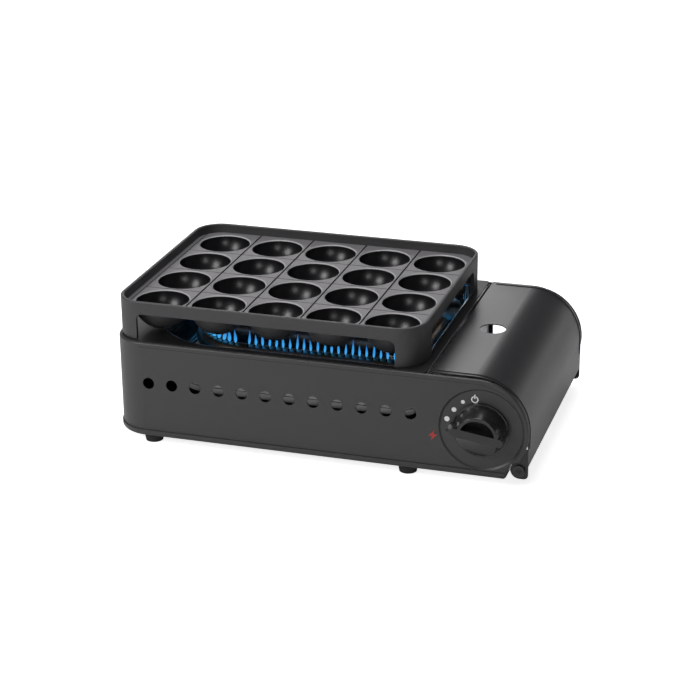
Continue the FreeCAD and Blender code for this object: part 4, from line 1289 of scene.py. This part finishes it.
class Grill:
    """The whole object: CAD nodes with their finishes, and the pieces that only the picture needs."""

    def __init__(self, nodes: dict[str, bpy.types.Object], record: dict) -> None:
        """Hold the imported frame.

        Args:
            nodes: CAD nodes by name.
            record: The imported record.
        """
        self.frame = Frame(nodes)
        self.record = record
        self.groups = GroupLibrary()

    def finishes(self) -> dict[Slot, Finish]:
        """Finishes of the record's slots.

        Returns:
            One finish for each slot.
        """
        centre = tuple(self.frame.plate_centre)
        return {
            Slot.CAST: CupPlateFinish(
                "cast_plate", (0.045, 0.045, 0.047), rough=0.5, wear=0.35, worn=(0.18, 0.18, 0.185),
                grain_scale=1400, grain_depth=0.35, grain_spread=0.3, centre=centre,
            ),
            Slot.FRONT: Finish("front_paint", (0.040, 0.040, 0.040), rough=0.42, wear=0.15,
                               worn=(0.10, 0.10, 0.10), coat=0.05, coat_rough=0.35, grain_scale=700,
                               grain_spread=0.08),
            Slot.COVER: Finish("cover_paint", (0.016, 0.016, 0.018), rough=0.36, wear=0.2,
                               worn=(0.08, 0.08, 0.08), coat=0.2, coat_rough=0.3, grain_scale=700,
                               grain_spread=0.08),
            Slot.BRIGHT: PanFinish("bright_sheet", (0.82, 0.81, 0.78), rough=0.10, grain_scale=300,
                                   grain_depth=0.03, grain_spread=0.06, centre=self.frame.well_centre),
            Slot.TUBE: HeatTintFinish("burner_steel", (0.34, 0.33, 0.32), rough=0.38, metallic=1.0, wear=0.3),
            Slot.ZINC: Finish("zinc_sheet", (0.52, 0.53, 0.54), rough=0.36, metallic=1.0, wear=0.3,
                              worn=(0.65, 0.65, 0.66), grain_scale=160, grain_spread=0.3, dust=0.15),
            Slot.VALVE: Finish("die_cast", (0.42, 0.42, 0.43), rough=0.5, metallic=0.9, grain_depth=0.3,
                               wear=0.3, worn=(0.6, 0.6, 0.6)),
            Slot.BRASS: Finish("turned_brass", (0.60, 0.44, 0.16), rough=0.28, metallic=1.0, wear=0.2,
                               worn=(0.8, 0.66, 0.34)),
            Slot.MAGNET: Finish("nickel", (0.62, 0.61, 0.58), rough=0.18, metallic=1.0, wear=0.2),
            Slot.IGNITER: Finish("igniter_case", (0.35, 0.025, 0.02), rough=0.5, grain_depth=0.2),
            Slot.LEAD: Finish("silicone", (0.6, 0.6, 0.57), rough=0.6, dust=0.2),
            Slot.CERAMIC: Finish("glazed_ceramic", (0.78, 0.76, 0.70), rough=0.2, coat=0.4),
            Slot.KNOB: Finish("knob_black", (0.012, 0.012, 0.012), rough=0.22, coat=0.3, coat_rough=0.08,
                              grain_depth=0.04, wear=0.15, worn=(0.06, 0.06, 0.06)),
            Slot.FOOT: Finish("foot_rubber", (0.02, 0.02, 0.02), rough=0.75, grain_depth=0.25, dust=0.15),
            Slot.SCREW: Finish("screw_black", (0.05, 0.05, 0.052), rough=0.35, metallic=0.6, wear=0.5,
                               worn=(0.3, 0.3, 0.3)),
        }

    def paint(self) -> dict[Slot, bpy.types.Material]:
        """Give every CAD node the finish of its slot.

        Returns:
            The materials by slot.
        """
        made = {slot: finish.build(self.groups) for slot, finish in self.finishes().items()}
        slots = {entry["node"]: entry["material_slot"] for entry in self.record["subparts"]}
        for name, node in self.frame.nodes.items():
            node.data.materials.clear()
            node.data.materials.append(made[Slot(slots[name])])
            LOG.info("node %s wears %s", name, slots[name])
        return made

    def dress(self) -> list[bpy.types.Object]:
        """Add the pieces that only the picture needs.

        Returns:
            The new pieces.
        """
        root = self.frame.box("burner")[1].z
        flame = FlameFinish(root_z=root).build()
        white = Finish("white_ink", (0.85, 0.85, 0.85), rough=0.5, grain_scale=2000).build(self.groups)
        red = Finish("red_ink", (0.42, 0.035, 0.03), rough=0.5, grain_scale=2000).build(self.groups)
        # Painted shade for the hinge screws' cross recesses.
        dark = Finish("recess_shade", (0.008, 0.008, 0.008), rough=0.6).build(self.groups)
        # Painted shade of the front panel's pressed step line.
        line = Finish("line_shadow", (0.02, 0.02, 0.02), rough=0.5).build(self.groups)
        pieces = Flames(self.frame).build(flame)
        pieces += DialMarks(self.frame).build(white, red)
        pieces += PanelLine(self.frame).build(line)
        pieces += ScrewCrosses(self.frame).build(dark)
        return pieces


def main() -> None:
    """Build the object and its studio."""
    logging.basicConfig(level=logging.INFO, format="%(message)s")
    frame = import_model()
    grill = Grill(frame["nodes"], frame["record"])
    grill.paint()
    pieces = grill.dress()
    Studio(grill.frame).build()
    LOG.info("%d CAD nodes and %d further pieces", len(frame["nodes"]), len(pieces))


if __name__ == "__main__":
    main()
